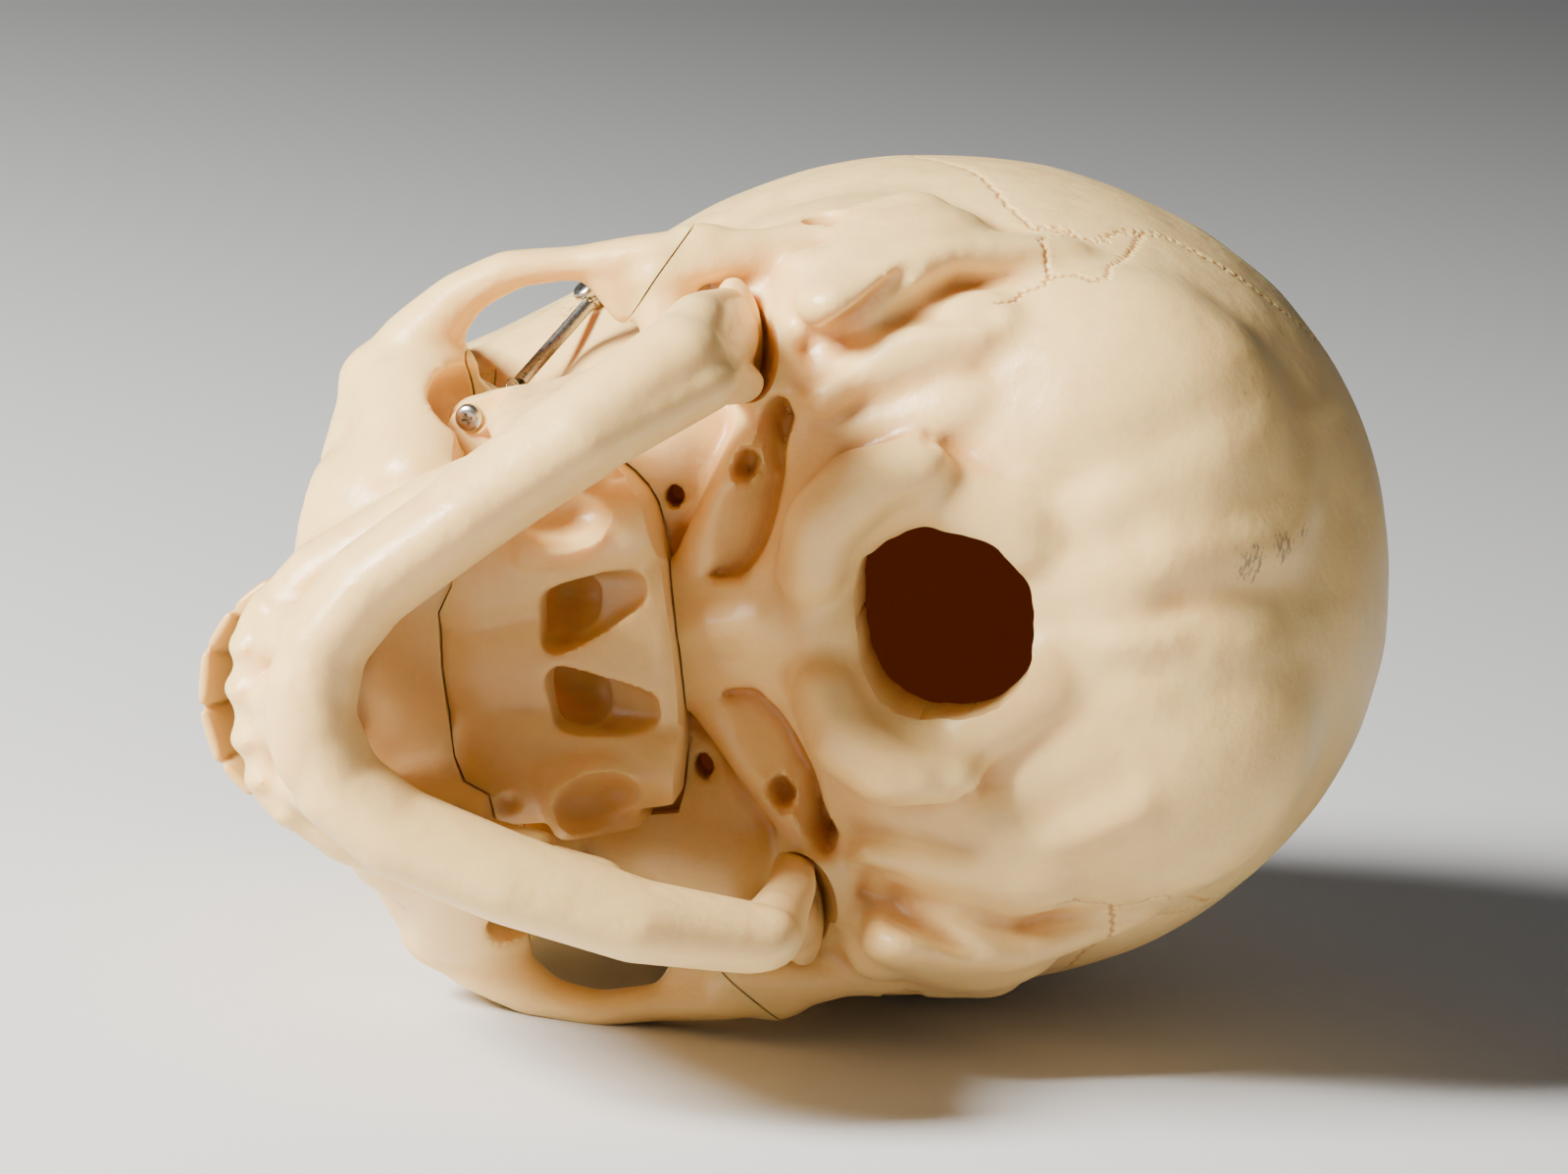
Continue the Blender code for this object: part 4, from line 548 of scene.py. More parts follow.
class SkullColours(bpy.types.PropertyGroup):
    """Colours of the finishes."""

    vinyl: bpy.props.FloatVectorProperty(
        name="Vinyl", description="Cream of the moulded bone", subtype="COLOR", size=3,
        min=0, max=1, default=srgb("#F5CE86"))
    # Painted shade that darkens the hollows, also the warmer tone of the clouds in the cast's wall
    painted_shade_and_warm_tone: bpy.props.FloatVectorProperty(
        name="Vinyl in hollows", description="Warmer tone that gathers in hollows", subtype="COLOR",
        size=3, min=0, max=1, default=srgb("#CC873C"))
    # Painted shade inside the head: the darker tone of unpainted vinyl, deepened to a dark red-brown painted
    # shade
    inside_tone_and_painted_shade: bpy.props.FloatVectorProperty(
        name="Cavity", description="Unpainted vinyl inside the head", size=3, subtype="COLOR",
        min=0.0, max=1.0, default=srgb("#8E4A22"))
    amber: bpy.props.FloatVectorProperty(
        name="Vinyl in seams", description="Amber that gathers in engraved lines", subtype="COLOR",
        size=3, min=0, max=1, default=srgb("#B9803C"))
    grime: bpy.props.FloatVectorProperty(
        name="Grime", description="Grey-brown dirt in the scuffs", subtype="COLOR",
        size=3, min=0, max=1, default=srgb("#7A6550"))
    teeth: bpy.props.FloatVectorProperty(
        name="Teeth", description="Yellower vinyl of the teeth", subtype="COLOR", size=3,
        min=0, max=1, default=srgb("#E0B368"))
    steel: bpy.props.FloatVectorProperty(
        name="Steel", description="Bright steel of springs and screws", subtype="COLOR", size=3,
        min=0, max=1, default=srgb("#B9B6AE"))
    floor: bpy.props.FloatVectorProperty(
        name="Floor", description="Pale paper sweep under the skull", subtype="COLOR", size=3,
        min=0, max=1, default=srgb("#D9D8D5"))


def sizes():
    return bpy.context.scene.skull_sizes


def colours():
    return bpy.context.scene.skull_colours


# Mesh tools


def placed(shares, side=1):
    return Vector((shares[0], shares[1], shares[2] * side)) * EAR_TO_BROW


def knots_of(rows, side=1):
    return [(placed(centre, side), Vector(half) * EAR_TO_BROW) for centre, half in rows]


def mesh_object(name, bm):
    bmesh.ops.recalc_face_normals(bm, faces=bm.faces)
    mesh = bpy.data.meshes.new(name)
    bm.to_mesh(mesh)
    bm.free()
    obj = bpy.data.objects.new(name, mesh)
    bpy.context.scene.collection.objects.link(obj)
    return obj


def add_ellipsoid(bm, centre, half, level=4):
    matrix = Matrix.Translation(centre) @ Matrix.Diagonal((*half, 1.0))
    bmesh.ops.create_icosphere(bm, subdivisions=level, radius=1.0, matrix=matrix)


def add_part(bm, part):
    """Add a finished part to a mesh that is being gathered."""
    mesh = bpy.data.meshes.new("part")
    part.to_mesh(mesh)
    part.free()
    bm.from_mesh(mesh)
    bpy.data.meshes.remove(mesh)


def add_hull(bm, knots, level=3):
    """One convex body round two or more ellipsoids."""
    part = bmesh.new()
    for centre, half in knots:
        add_ellipsoid(part, centre, half, level)
    hull = bmesh.ops.convex_hull(part, input=part.verts)
    spare = [v for v in hull["geom_interior"] if isinstance(v, bmesh.types.BMVert)]
    bmesh.ops.delete(part, geom=spare, context="VERTS")
    add_part(bm, part)


def add_strut(bm, knots):
    for first, second in zip(knots, knots[1:]):
        add_hull(bm, [first, second])


def add_masses(bm, both_sides, middle, struts, middle_struts):
    for side in (1, -1):
        for centre, half in knots_of(both_sides, side):
            add_ellipsoid(bm, centre, half)
        for rows in struts:
            add_strut(bm, knots_of(rows, side))
    for centre, half in knots_of(middle):
        add_ellipsoid(bm, centre, half)
    for rows in middle_struts:
        add_strut(bm, knots_of(rows))


def add_loft(bm, sections):
    """A closed body through rings of points, bridged from ring to ring."""
    rings = []
    for section in sections:
        verts = bmesh.ops.create_circle(bm, segments=len(section), radius=1.0)["verts"]
        for vert, point in zip(verts, section):
            vert.co = point
        rings.append(list({e for v in verts for e in v.link_edges}))
    for first, second in zip(rings, rings[1:]):
        bmesh.ops.bridge_loops(bm, edges=first + second)
    for ring in (rings[0], rings[-1]):
        bmesh.ops.edgeloop_fill(bm, edges=ring)


def eased(rows, steps):
    """Rows of a smooth curve through the given rows."""
    table = np.array(rows)
    padded = np.vstack([table[:1], table, table[-1:]])
    smooth = []
    for i in range(len(rows) - 1):
        a, b, c, d = padded[i:i + 4]
        for t in np.arange(steps) / steps:
            smooth.append(b + 0.5 * t * (c - a) + t ** 2 * (a - 2.5 * b + 2 * c - 0.5 * d)
                          + t ** 3 * (1.5 * b - 1.5 * c + 0.5 * (d - a)))
    return [*smooth, table[-1]]


def vault_sections(wall):
    """Sections of the outer vault, or of the hollow inside it where a wall is given."""
    power = 2 / VAULT_SQUARENESS
    sections = []
    for row in eased(VAULT, VAULT_STEPS):
        place, crown, level, underside, floor, width = row * EAR_TO_BROW
        place -= wall * row[0]
        top, half, bottom = crown - wall, width - wall, floor if wall else underside
        if half <= wall or top - bottom <= 2 * wall:
            continue
        level = min(max(level, bottom), top)
        ring = []
        for i in range(VAULT_SIDES):
            turn = 2 * math.pi * i / VAULT_SIDES
            across, up = math.cos(turn), math.sin(turn)
            reach = top - level if up > 0 else level - bottom
            ring.append((place, level + reach * math.copysign(abs(up) ** power, up),
                         half * math.copysign(abs(across) ** power, across)))
        sections.append(ring)
    return sections


def evaluated(obj, name):
    deps = bpy.context.evaluated_depsgraph_get()
    mesh = bpy.data.meshes.new_from_object(obj.evaluated_get(deps))
    bpy.data.objects.remove(obj, do_unlink=True)
    mesh.name = name
    fresh = bpy.data.objects.new(name, mesh)
    bpy.context.scene.collection.objects.link(fresh)
    return fresh


def moulded(obj, cell, rounds, name):
    """Merge overlapping masses into one skin and soften it."""
    remesh = obj.modifiers.new("merge", "REMESH")
    remesh.mode = "VOXEL"
    remesh.voxel_size = cell
    smooth = obj.modifiers.new("soften", "SMOOTH")
    smooth.factor = 0.5
    smooth.iterations = rounds
    return evaluated(obj, name)


def cut(obj, cutter, operation="DIFFERENCE", solver="MANIFOLD"):
    mod = obj.modifiers.new("cut", "BOOLEAN")
    mod.operation = operation
    mod.solver = solver
    mod.object = cutter
    fresh = evaluated(obj, obj.name)
    bpy.data.objects.remove(cutter, do_unlink=True)
    return fresh


def copied(obj, name):
    twin = bpy.data.objects.new(name, obj.data.copy())
    bpy.context.scene.collection.objects.link(twin)
    return twin


def box(name, low, high):
    bm = bmesh.new()
    matrix = Matrix.Translation((low + high) / 2) @ Matrix.Diagonal((*(high - low), 1.0))
    bmesh.ops.create_cube(bm, size=1.0, matrix=matrix)
    return mesh_object(name, bm)


def rod(name, foot, tip, radius, sides=32, tip_radius=None):
    bm = bmesh.new()
    run = tip - foot
    matrix = Matrix.Translation((foot + tip) / 2) @ run.to_track_quat("Z", "Y").to_matrix().to_4x4()
    bmesh.ops.create_cone(bm, cap_ends=True, segments=sides, radius1=radius,
                          radius2=radius if tip_radius is None else tip_radius,
                          depth=run.length, matrix=matrix)
    return mesh_object(name, bm)


def dish(row, side, level=4):
    bm = bmesh.new()
    add_ellipsoid(bm, *knots_of([row], side)[0], level)
    return mesh_object("dish", bm)


def coordinates(mesh, what="co"):
    values = np.empty(len(mesh.vertices) * 3, dtype=np.float32)
    mesh.vertices.foreach_get(what, values)
    return values.reshape(-1, 3).astype(np.float64)


def path_distance(points, path):
    """Distance of each point from a path."""
    path = np.array(path)
    best = np.full(len(points), FAR)
    for a, b in zip(path, path[1:]):
        run = b - a
        share = np.clip((points - a) @ run / (run @ run), 0, 1)[:, None]
        best = np.minimum(best, np.linalg.norm(points - a - share * run, axis=1))
    return best


def main_body(obj):
    """Keep the largest body and drop slivers that a cut leaves."""
    bm = bmesh.new()
    bm.from_mesh(obj.data)
    left = set(bm.verts)
    bodies = []
    while left:
        body, edge = set(), [left.pop()]
        while edge:
            vert = edge.pop()
            body.add(vert)
            near = [e.other_vert(vert) for e in vert.link_edges]
            edge += [v for v in near if v in left]
            left.difference_update(near)
        bodies.append(body)
    bodies.sort(key=len)
    bmesh.ops.delete(bm, geom=[v for body in bodies[:-1] for v in body], context="VERTS")
    bm.to_mesh(obj.data)
    bm.free()
    return obj


# Head


def head_skin():
    """The broad skull smoothed first, then its finer parts grown out of it."""
    bm = bmesh.new()
    add_loft(bm, vault_sections(0.0))
    add_masses(bm, BROAD_MASSES, BROAD_MIDDLE, [], [])
    broad = moulded(mesh_object("broad", bm), *BROAD_MOULD, "broad")
    bm = bmesh.new()
    bm.from_mesh(broad.data)
    bpy.data.objects.remove(broad, do_unlink=True)
    add_masses(bm, BASE_MASSES, [], BASE_STRUTS, BASE_MIDDLE_STRUTS)
    add_masses(bm, FACE_MASSES, FACE_MIDDLE, FACE_STRUTS, FACE_MIDDLE_STRUTS)
    for side in (1, -1):
        add_hull(bm, knots_of(MAXILLA, side))
    return moulded(mesh_object("head", bm), sizes().head_cell, HEAD_ROUNDS, "head")


def peg_foot(place, across):
    x = place * EAR_TO_BROW
    return Vector((x, SAW_HEIGHT + x * math.tan(SAW_LEAN), across * EAR_TO_BROW))


def brain_hollow():
    bm = bmesh.new()
    add_loft(bm, vault_sections(WALL))
    add_masses(bm, FOSSAE, [], [], [])
    hollow = moulded(mesh_object("hollow", bm), *HOLLOW_MOULD, "hollow")
    for place, across in PEGS:
        foot, reach = peg_foot(place, across), Vector((0, PEG_BOSS[1] / 2, 0))
        hollow = cut(hollow, rod("boss", foot - reach, foot + reach, PEG_BOSS[0] / 2))
    return hollow


def orbit_cutter(side):
    bm = bmesh.new()
    half = Vector((ORBIT_SIZE[0] / 4, ORBIT_SIZE[1] / 2, ORBIT_SIZE[0] / 2))
    add_strut(bm, [(placed(centre, side), half * share) for centre, share in ORBIT])
    return moulded(mesh_object("orbit", bm), *ORBIT_MOULD, "orbit")


def nose_cutter(side):
    bm = bmesh.new()
    half_width = (NOSE_WIDTH - SEPTUM) / 4
    for rows in NOSE:
        knots = []
        for (along, up), (half_along, half_up), share in rows:
            half = half_width * share
            spot = placed((along, up, 0))
            spot.z = side * (SEPTUM / 2 + half)
            knots.append((spot, Vector((half_along * EAR_TO_BROW, half_up * EAR_TO_BROW, half))))
        add_strut(bm, knots)
    return moulded(mesh_object("nose", bm), *NOSE_MOULD, "nose")


def jaw_socket(side):
    bm = bmesh.new()
    gap = CONDYLE_GAP
    half = Vector((CONDYLE[0] / 2 + gap, CONDYLE[0] / 2 + gap, CONDYLE[1] / 2 + gap))
    add_hull(bm, [(placed(HINGE_SHARES, side), half), knots_of([SOCKET_MOUTH], side)[0]], 4)
    return moulded(mesh_object("socket", bm), *SOCKET_MOULD, "socket")


def foramen_magnum():
    """A knife cut through the soft cast: its outline with nicks, a little wider at the mouth."""
    table = np.array(eased([*FORAMEN_OUTLINE, FORAMEN_OUTLINE[0]], FORAMEN_STEPS)[:-1]) * EAR_TO_BROW
    middle = table.mean(axis=0)
    share, slow, density = FORAMEN_NICKS
    rings = []
    for level, grow in FORAMEN_LEVELS:
        ring = []
        for x, z in table:
            nick = 1 + share * noise.noise(Vector((x, level / slow, z)) * density)
            ring.append((middle[0] + (x - middle[0]) * grow * nick, level * EAR_TO_BROW,
                         middle[1] + (z - middle[1]) * grow * nick))
        rings.append(ring)
    bm = bmesh.new()
    add_loft(bm, rings)
    return mesh_object("foramen_magnum", bm)


def ramp_cutter(bm, stations, side):
    """Wedges with one steep wall and one gentle slope, from station to station."""
    knots = []
    for (x, z), floor, (far_x, far_z), level in stations:
        knots.append([(x, floor, z), (x, RAMP_TOP, z), (far_x, level, far_z), (far_x, RAMP_TOP, far_z)])
    for first, second in zip(knots, knots[1:]):
        add_hull(bm, knots_of([(spot, RAMP_EDGE) for spot in first + second], side), 2)


def soft_cutter():
    bm = bmesh.new()
    for side in (1, -1):
        for stations in RAMPS:
            ramp_cutter(bm, stations, side)
        for knots in SOFT_PITS:
            add_strut(bm, knots_of(knots, side))
    return moulded(mesh_object("soft", bm), *SOFT_MOULD, "soft")


def crisp_cutter():
    bm = bmesh.new()
    for side in (1, -1):
        for knots in CRISP_PITS:
            add_strut(bm, knots_of(knots, side))
        spot, out = placed(EAR_CANAL, side), EAR_TO_BROW * EAR_CANAL_REACH
        add_strut(bm, [(spot - Vector((0, 0, out)), Vector((EAR_BORE / 2,) * 3)),
                       (spot + Vector((0, 0, out)), Vector((EAR_BORE / 2,) * 3))])
    return moulded(mesh_object("crisp", bm), *CRISP_MOULD, "crisp")


def sculpted(obj, rows):
    """Raise and sink the skin along soft paths seen from below, over a slow swell."""
    points, normals = coordinates(obj.data), coordinates(obj.data, "normal")
    facing = np.clip(-2.5 * normals[:, 1] - 0.1, 0, 1)
    rise = np.array([noise.noise(Vector(p) * SWELL[1]) for p in points]) * SWELL[0]
    flat = points * (1, 0, 1)
    for lift, reach, path in rows:
        near = path_distance(flat, [(x * EAR_TO_BROW, 0, z * EAR_TO_BROW) for x, z in path]) / reach
        rise += lift * np.exp(-near ** 2) * facing
    points += normals * rise[:, None]
    obj.data.vertices.foreach_set("co", points.astype(np.float32).ravel())
    obj.data.update()
    return obj


def hollowed_head():
    head = sculpted(head_skin(), RELIEF)
    for side in (1, -1):
        for cutter in (orbit_cutter(side), nose_cutter(side), dish(CANINE_FOSSA, side),
                       dish(INFRATEMPORAL, side), dish(INFRAORBITAL, side)):
            head = cut(head, cutter)
    head = moulded(cut(head, soft_cutter()), sizes().head_cell, HEAD_SOFT_ROUNDS, "head")
    head = moulded(cut(head, crisp_cutter()), sizes().head_cell, HEAD_CRISP_ROUNDS, "head")
    # The remesh would fill a closed hollow, so the brain's room is cut after it
    hollow = brain_hollow()
    bm = bmesh.new()
    bm.from_mesh(hollow.data)
    room = BVHTree.FromBMesh(bm)
    bm.free()
    for cutter in (hollow, foramen_magnum(), jaw_socket(1), jaw_socket(-1)):
        head = cut(head, cutter)
    return head, room


def suture_lines(tree):
    """Points of the zigzag lines, thrown onto the skin from outside."""
    middle = placed(VAULT_MIDDLE)
    wave, slip_wave, scale = SUTURE_WAVES
    lines = []
    for sway, length, both, path in SUTURES:
        for side in (1, -1) if both else (1,):
            run = [placed(p, side) for p in path]
            travelled = 0.0
            for a, b in zip(run, run[1:]):
                steps = max(1, int((b - a).length / SUTURE_STEP))
                for i in range(steps):
                    spot = a.lerp(b, i / steps)
                    travelled += SUTURE_STEP
                    out = (spot - middle).normalized()
                    across = out.cross(b - a).normalized()
                    saw = 2 * abs(travelled / length % 1 - 0.5) - 0.5
                    wild = noise.noise(Vector((travelled * wave, sway * scale, side)))
                    slip = noise.noise(Vector((travelled * slip_wave, 5, side)))
                    along = (b - a).normalized() * sway * SUTURE_WILD * slip
                    spot = spot + across * (saw + SUTURE_WILD * wild) * sway * SUTURE_SPREAD + along
                    out = (spot - middle).normalized()
                    hit = tree.ray_cast(middle + out * FAR, -out)
                    if hit[0]:
                        lines.append(hit[0])
    return lines


def engraved(objects):
    """Engrave the sutures into the castings, with the skin refined along them."""
    trees = [BVHTree.FromObject(obj, bpy.context.evaluated_depsgraph_get()) for obj in objects]
    for obj, tree in zip(objects, trees):
        lines = suture_lines(tree)
        near = KDTree(len(lines))
        for i, spot in enumerate(lines):
            near.insert(spot, i)
        near.balance()
        bm = bmesh.new()
        bm.from_mesh(obj.data)
        for reach, shortest in SUTURE_SPLITS:
            edges = [e for e in bm.edges if e.calc_length() > shortest
                     and near.find((e.verts[0].co + e.verts[1].co) / 2)[2] < reach]
            bmesh.ops.subdivide_edges(bm, edges=edges, cuts=1, use_grid_fill=True)
        bmesh.ops.triangulate(bm, faces=[f for f in bm.faces if len(f.verts) > 4])
        bm.normal_update()
        depths = []
        for vert in bm.verts:
            gap = near.find(vert.co)[2]
            depths.append(math.exp(-(gap / SUTURE_WIDTH) ** 2) if gap < 4 * SUTURE_WIDTH else 0.0)
        for vert, depth in zip(bm.verts, depths):
            vert.co -= vert.normal * depth * SUTURE_DEPTH
        bm.to_mesh(obj.data)
        bm.free()
        layer = obj.data.attributes.new("seam", "FLOAT", "POINT")
        layer.data.foreach_set("value", depths)


def scuffed(obj):
    """Store where the back of the head is scuffed and stained."""
    points = coordinates(obj.data)
    amount = np.zeros(len(points))
    for place, reach, strength in SCUFFS:
        gap = np.linalg.norm(points - np.array(placed(place)), axis=1) / reach
        amount = np.maximum(amount, strength * np.exp(-gap ** 2))
    layer = obj.data.attributes.new("scuff", "FLOAT", "POINT")
    layer.data.foreach_set("value", amount.astype(np.float32))


def inside_attribute(obj, room):
    """Mark the faces that lie on the skin of the brain's room."""
    centres, normals = np.empty(len(obj.data.polygons) * 3), np.empty(len(obj.data.polygons) * 3)
    obj.data.polygons.foreach_get("center", centres)
    obj.data.polygons.foreach_get("normal", normals)
    marks = []
    for centre, normal in zip(centres.reshape(-1, 3), normals.reshape(-1, 3)):
        _, way, _, _ = room.find_nearest(Vector(centre), ROOM_SKIN)
        marks.append(float(way is not None and way.dot(Vector(normal)) < -0.5))
    obj.data.attributes.new("inside", "FLOAT", "FACE").data.foreach_set("value", marks)


def thinned(obj, most):
    """Take faces away where the skin is smooth, down to the most that the piece may have."""
    obj.data.calc_loop_triangles()
    count = len(obj.data.loop_triangles)
    if count <= most:
        return obj
    mod = obj.modifiers.new("thin", "DECIMATE")
    mod.ratio = most / count
    return evaluated(obj, obj.name)


def over_saw(clearance):
    obj = box("over", Vector((-FAR, clearance, -FAR)), Vector((FAR, FAR, FAR)))
    obj.data.transform(Matrix.Translation((0, SAW_HEIGHT, 0)) @ Matrix.Rotation(SAW_LEAN, 4, "Z"))
    return obj


def prism(outline, low, high):
    bm = bmesh.new()
    face = bm.faces.new([bm.verts.new((x, low, z)) for x, z in outline])
    grown = bmesh.ops.extrude_face_region(bm, geom=[face])
    tops = [v for v in grown["geom"] if isinstance(v, bmesh.types.BMVert)]
    bmesh.ops.translate(bm, verts=tops, vec=(0, high - low, 0))
    return mesh_object("arch", bm)


def face_region(clearance):
    rear, roof = FACE_SEAM * EAR_TO_BROW + clearance, BROW_SEAM * EAR_TO_BROW + clearance
    region = box("region", Vector((-FAR, -FAR, -FAR)), Vector((rear, roof, FAR)))
    inner = ARCH_INNER * EAR_TO_BROW - clearance
    low, high = (level * EAR_TO_BROW for level in ARCH_LEVELS)
    near, end = (Vector(s) * EAR_TO_BROW for s in ARCH_SEAM)
    run = (end - near).normalized()
    step = Vector((run.y, -run.x)) * clearance
    front = rear - FAR / 4
    beyond, near = end + run * FAR / 4 + step, near + step
    corner = near + run * (inner - near.y) / run.y
    for side in (1, -1):
        outline = [(front, side * inner), (corner.x, side * inner), (beyond.x, side * beyond.y),
                   (front, side * beyond.y)]
        region = cut(region, prism(outline, low, high), "UNION", "EXACT")
    return region


def pocket(clearance):
    """The room of the nasal insert, grown all round by the clearance."""
    b = EAR_TO_BROW
    xs, zs = zip(*POCKET_OUTLINE)
    middle = (min(xs) + max(xs)) / 2
    grow = (1 + 2 * clearance / (max(xs) - min(xs)) / b, 1 + clearance / max(zs) / b)
    outline = [((middle + (x - middle) * grow[0]) * b, z * grow[1] * b) for x, z in POCKET_OUTLINE]
    low, high = (level * b for level in POCKET_LEVELS)
    return prism(outline, low, high + clearance)


def choana_cutter(side):
    """A rear opening of the nose, deep at the front, and the passage on from it."""
    bm = bmesh.new()
    add_hull(bm, knots_of(CHOANA, side))
    add_strut(bm, knots_of(CHOANA_PASSAGE, side))
    return moulded(mesh_object("choana", bm), sizes().insert_cell, CHOANA_ROUNDS, "choana")


def nasal_insert():
    bm = bmesh.new()
    add_masses(bm, [], INSERT_MASSES, INSERT_STRUTS, [])
    insert = moulded(mesh_object("nasal_insert", bm), sizes().insert_cell, INSERT_ROUNDS, "nasal_insert")
    for side in (1, -1):
        for row in SIDE_DISHES:
            insert = cut(insert, dish(row, side))
        insert = cut(insert, choana_cutter(side))
    insert = cut(insert, box("torn", *(Vector(corner) * EAR_TO_BROW for corner in TORN_CORNER)))
    insert = moulded(insert, sizes().insert_cell, INSERT_CUT_ROUNDS, "nasal_insert")
    return main_body(cut(insert, pocket(0.0), "INTERSECT"))


# Jaw and teeth


def jaw_solid():
    bm = bmesh.new()
    add_masses(bm, JAW_LUMPS, [CHIN], JAW_STRUTS, [])
    for row in JAW_FLARE:
        add_strut(bm, knots_of(row))
    for side in (1, -1):
        add_hull(bm, knots_of(RAMUS_PLATE, side))
        half = Vector((CONDYLE[0] / 2, CONDYLE[0] / 2, CONDYLE[1] / 2))
        add_ellipsoid(bm, placed(HINGE_SHARES, side), half)
    return moulded(mesh_object("mandible", bm), sizes().jaw_cell, JAW_ROUNDS, "mandible")


def tooth_row(name, row, gum_share, up):
    bm = bmesh.new()
    gum, edge = gum_share * EAR_TO_BROW, BITE * EAR_TO_BROW + up * BITE_GAP / 2
    half = Vector((GUM_BEAD,) * 3)
    ridges = []
    for side in (1, -1):
        spots = [Vector((x, 0, side * z)) * EAR_TO_BROW for (x, z), *_ in row]
        ridges.append(spots)
        for i, (_, along, across, kind) in enumerate(row):
            before = spots[i - 1] if i else Vector((spots[0].x, 0, -spots[0].z))
            after = spots[i + 1] if i + 1 < len(spots) else spots[i] * 2 - spots[i - 1]
            run = (after - before).normalized()
            add_crown(bm, spots[i], math.atan2(-run.z, run.x), along * EAR_TO_BROW,
                      across * EAR_TO_BROW, gum, edge, kind, side)
    chain = [*reversed(ridges[1]), *ridges[0]]
    add_strut(bm, [(Vector((p.x, gum, p.z)), half * 1.02) for p in chain])
    return moulded(mesh_object(name, bm), sizes().tooth_cell, TOOTH_ROUNDS, name)


def add_crown(bm, spot, turn, along, across, gum, edge, kind, side):
    """One crown: rings from the neck to the biting edge, then its cusps."""
    height = edge - gum
    thin = CROWN_EDGE[kind]
    square_along, square_across = CROWN_SQUARING
    rings = []
    for level, wide, share in CROWN_RINGS:
        ring = []
        deep = share * (1 - (1 - thin) * max(0.0, level) ** 0.8)
        lean = across * max(0.0, level) * (1 - thin) * CROWN_LEAN
        for i in range(CROWN_SIDES):
            angle = 2 * math.pi * i / CROWN_SIDES
            far, out = math.cos(angle), math.sin(angle)
            x = math.copysign(abs(far) ** square_along, far) * along * wide * CROWN_OVERLAP
            z = math.copysign(abs(out) ** square_across, out) * across * deep + side * lean
            ring.append(Vector((x, gum + height * level, z)))
        rings.append(ring)
    part = bmesh.new()
    add_loft(part, rings)
    matrix = Matrix.Translation(spot) @ Matrix.Rotation(turn, 4, "Y")
    part.transform(matrix)
    add_part(bm, part)


def socketed(obj, row):
    grown = copied(row, "groove")
    grow = grown.modifiers.new("grow", "DISPLACE")
    grow.strength = ROOT_GAP
    grow.mid_level = 0.0
    return main_body(cut(obj, moulded(grown, *GROOVE_MOULD, "groove")))


# Finishing of pieces


def laid(obj, to_ground=False):
    """Lay the upright piece down in world metres and cut its flat on the ground."""
    obj.data.transform(LAY)
    if to_ground:
        obj = cut(obj, box("ground", Vector((-FAR, -FAR, -FAR)), Vector((FAR, FAR, 0))))
    return obj


def hollow_attribute(obj, rounds=24, reach=0.0012):
    """Store how deep each point lies in a hollow, from -1 on a crest to 1 in a hollow."""
    mesh = obj.data
    points, normals = coordinates(mesh), coordinates(mesh, "normal")
    edges = np.empty(len(mesh.edges) * 2, dtype=np.int32)
    mesh.edges.foreach_get("vertices", edges)
    a, b = edges.reshape(-1, 2).T
    count = np.maximum(np.bincount(a, minlength=len(points)) + np.bincount(b, minlength=len(points)), 1)
    soft = points.copy()
    for _ in range(rounds):
        for axis in range(3):
            total = (np.bincount(a, soft[b, axis], len(points)) + np.bincount(b, soft[a, axis], len(points)))
            soft[:, axis] = total / count
    depth = ((soft - points) * normals).sum(axis=1) / reach
    layer = mesh.attributes.new("hollow", "FLOAT", "POINT")
    layer.data.foreach_set("value", np.clip(depth, -1, 1).astype(np.float32))


def finished(obj, name, node, body, material, sharp=40):
    obj.name = name
    obj.data.name = name
    obj.data.materials.clear()
    obj.data.materials.append(material)
    obj.data.shade_smooth()
    obj.data.set_sharp_from_angle(angle=math.radians(sharp))
    if body:
        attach(obj, body)
    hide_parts(node)
    obj.data.calc_loop_triangles()
    print(name, len(obj.data.loop_triangles), "triangles")
    return obj


# Materials


def node(tree, kind, settings=(), **links):
    """Add one node with its settings and its links; a link may be a socket."""
    made = tree.nodes.new(kind)
    for key, value in dict(settings).items():
        if isinstance(key, int) or key in made.inputs:
            made.inputs[key].default_value = value
        else:
            setattr(made, key, value)
    for key, socket in links.items():
        tree.links.new(socket, made.inputs[int(key[1:]) if key[1:].isdigit() else key.replace("_", " ")])
    return made


def ramp(tree, value, low, high, start, end):
    """Map a value from one range onto another."""
    return node(tree, "ShaderNodeMapRange",
                {"From Min": low, "From Max": high, "To Min": start, "To Max": end}, Value=value)


def new_material(name):
    mat = bpy.data.materials.new(name)
    mat.use_nodes = True
    return mat, mat.node_tree, mat.node_tree.nodes["Principled BSDF"]


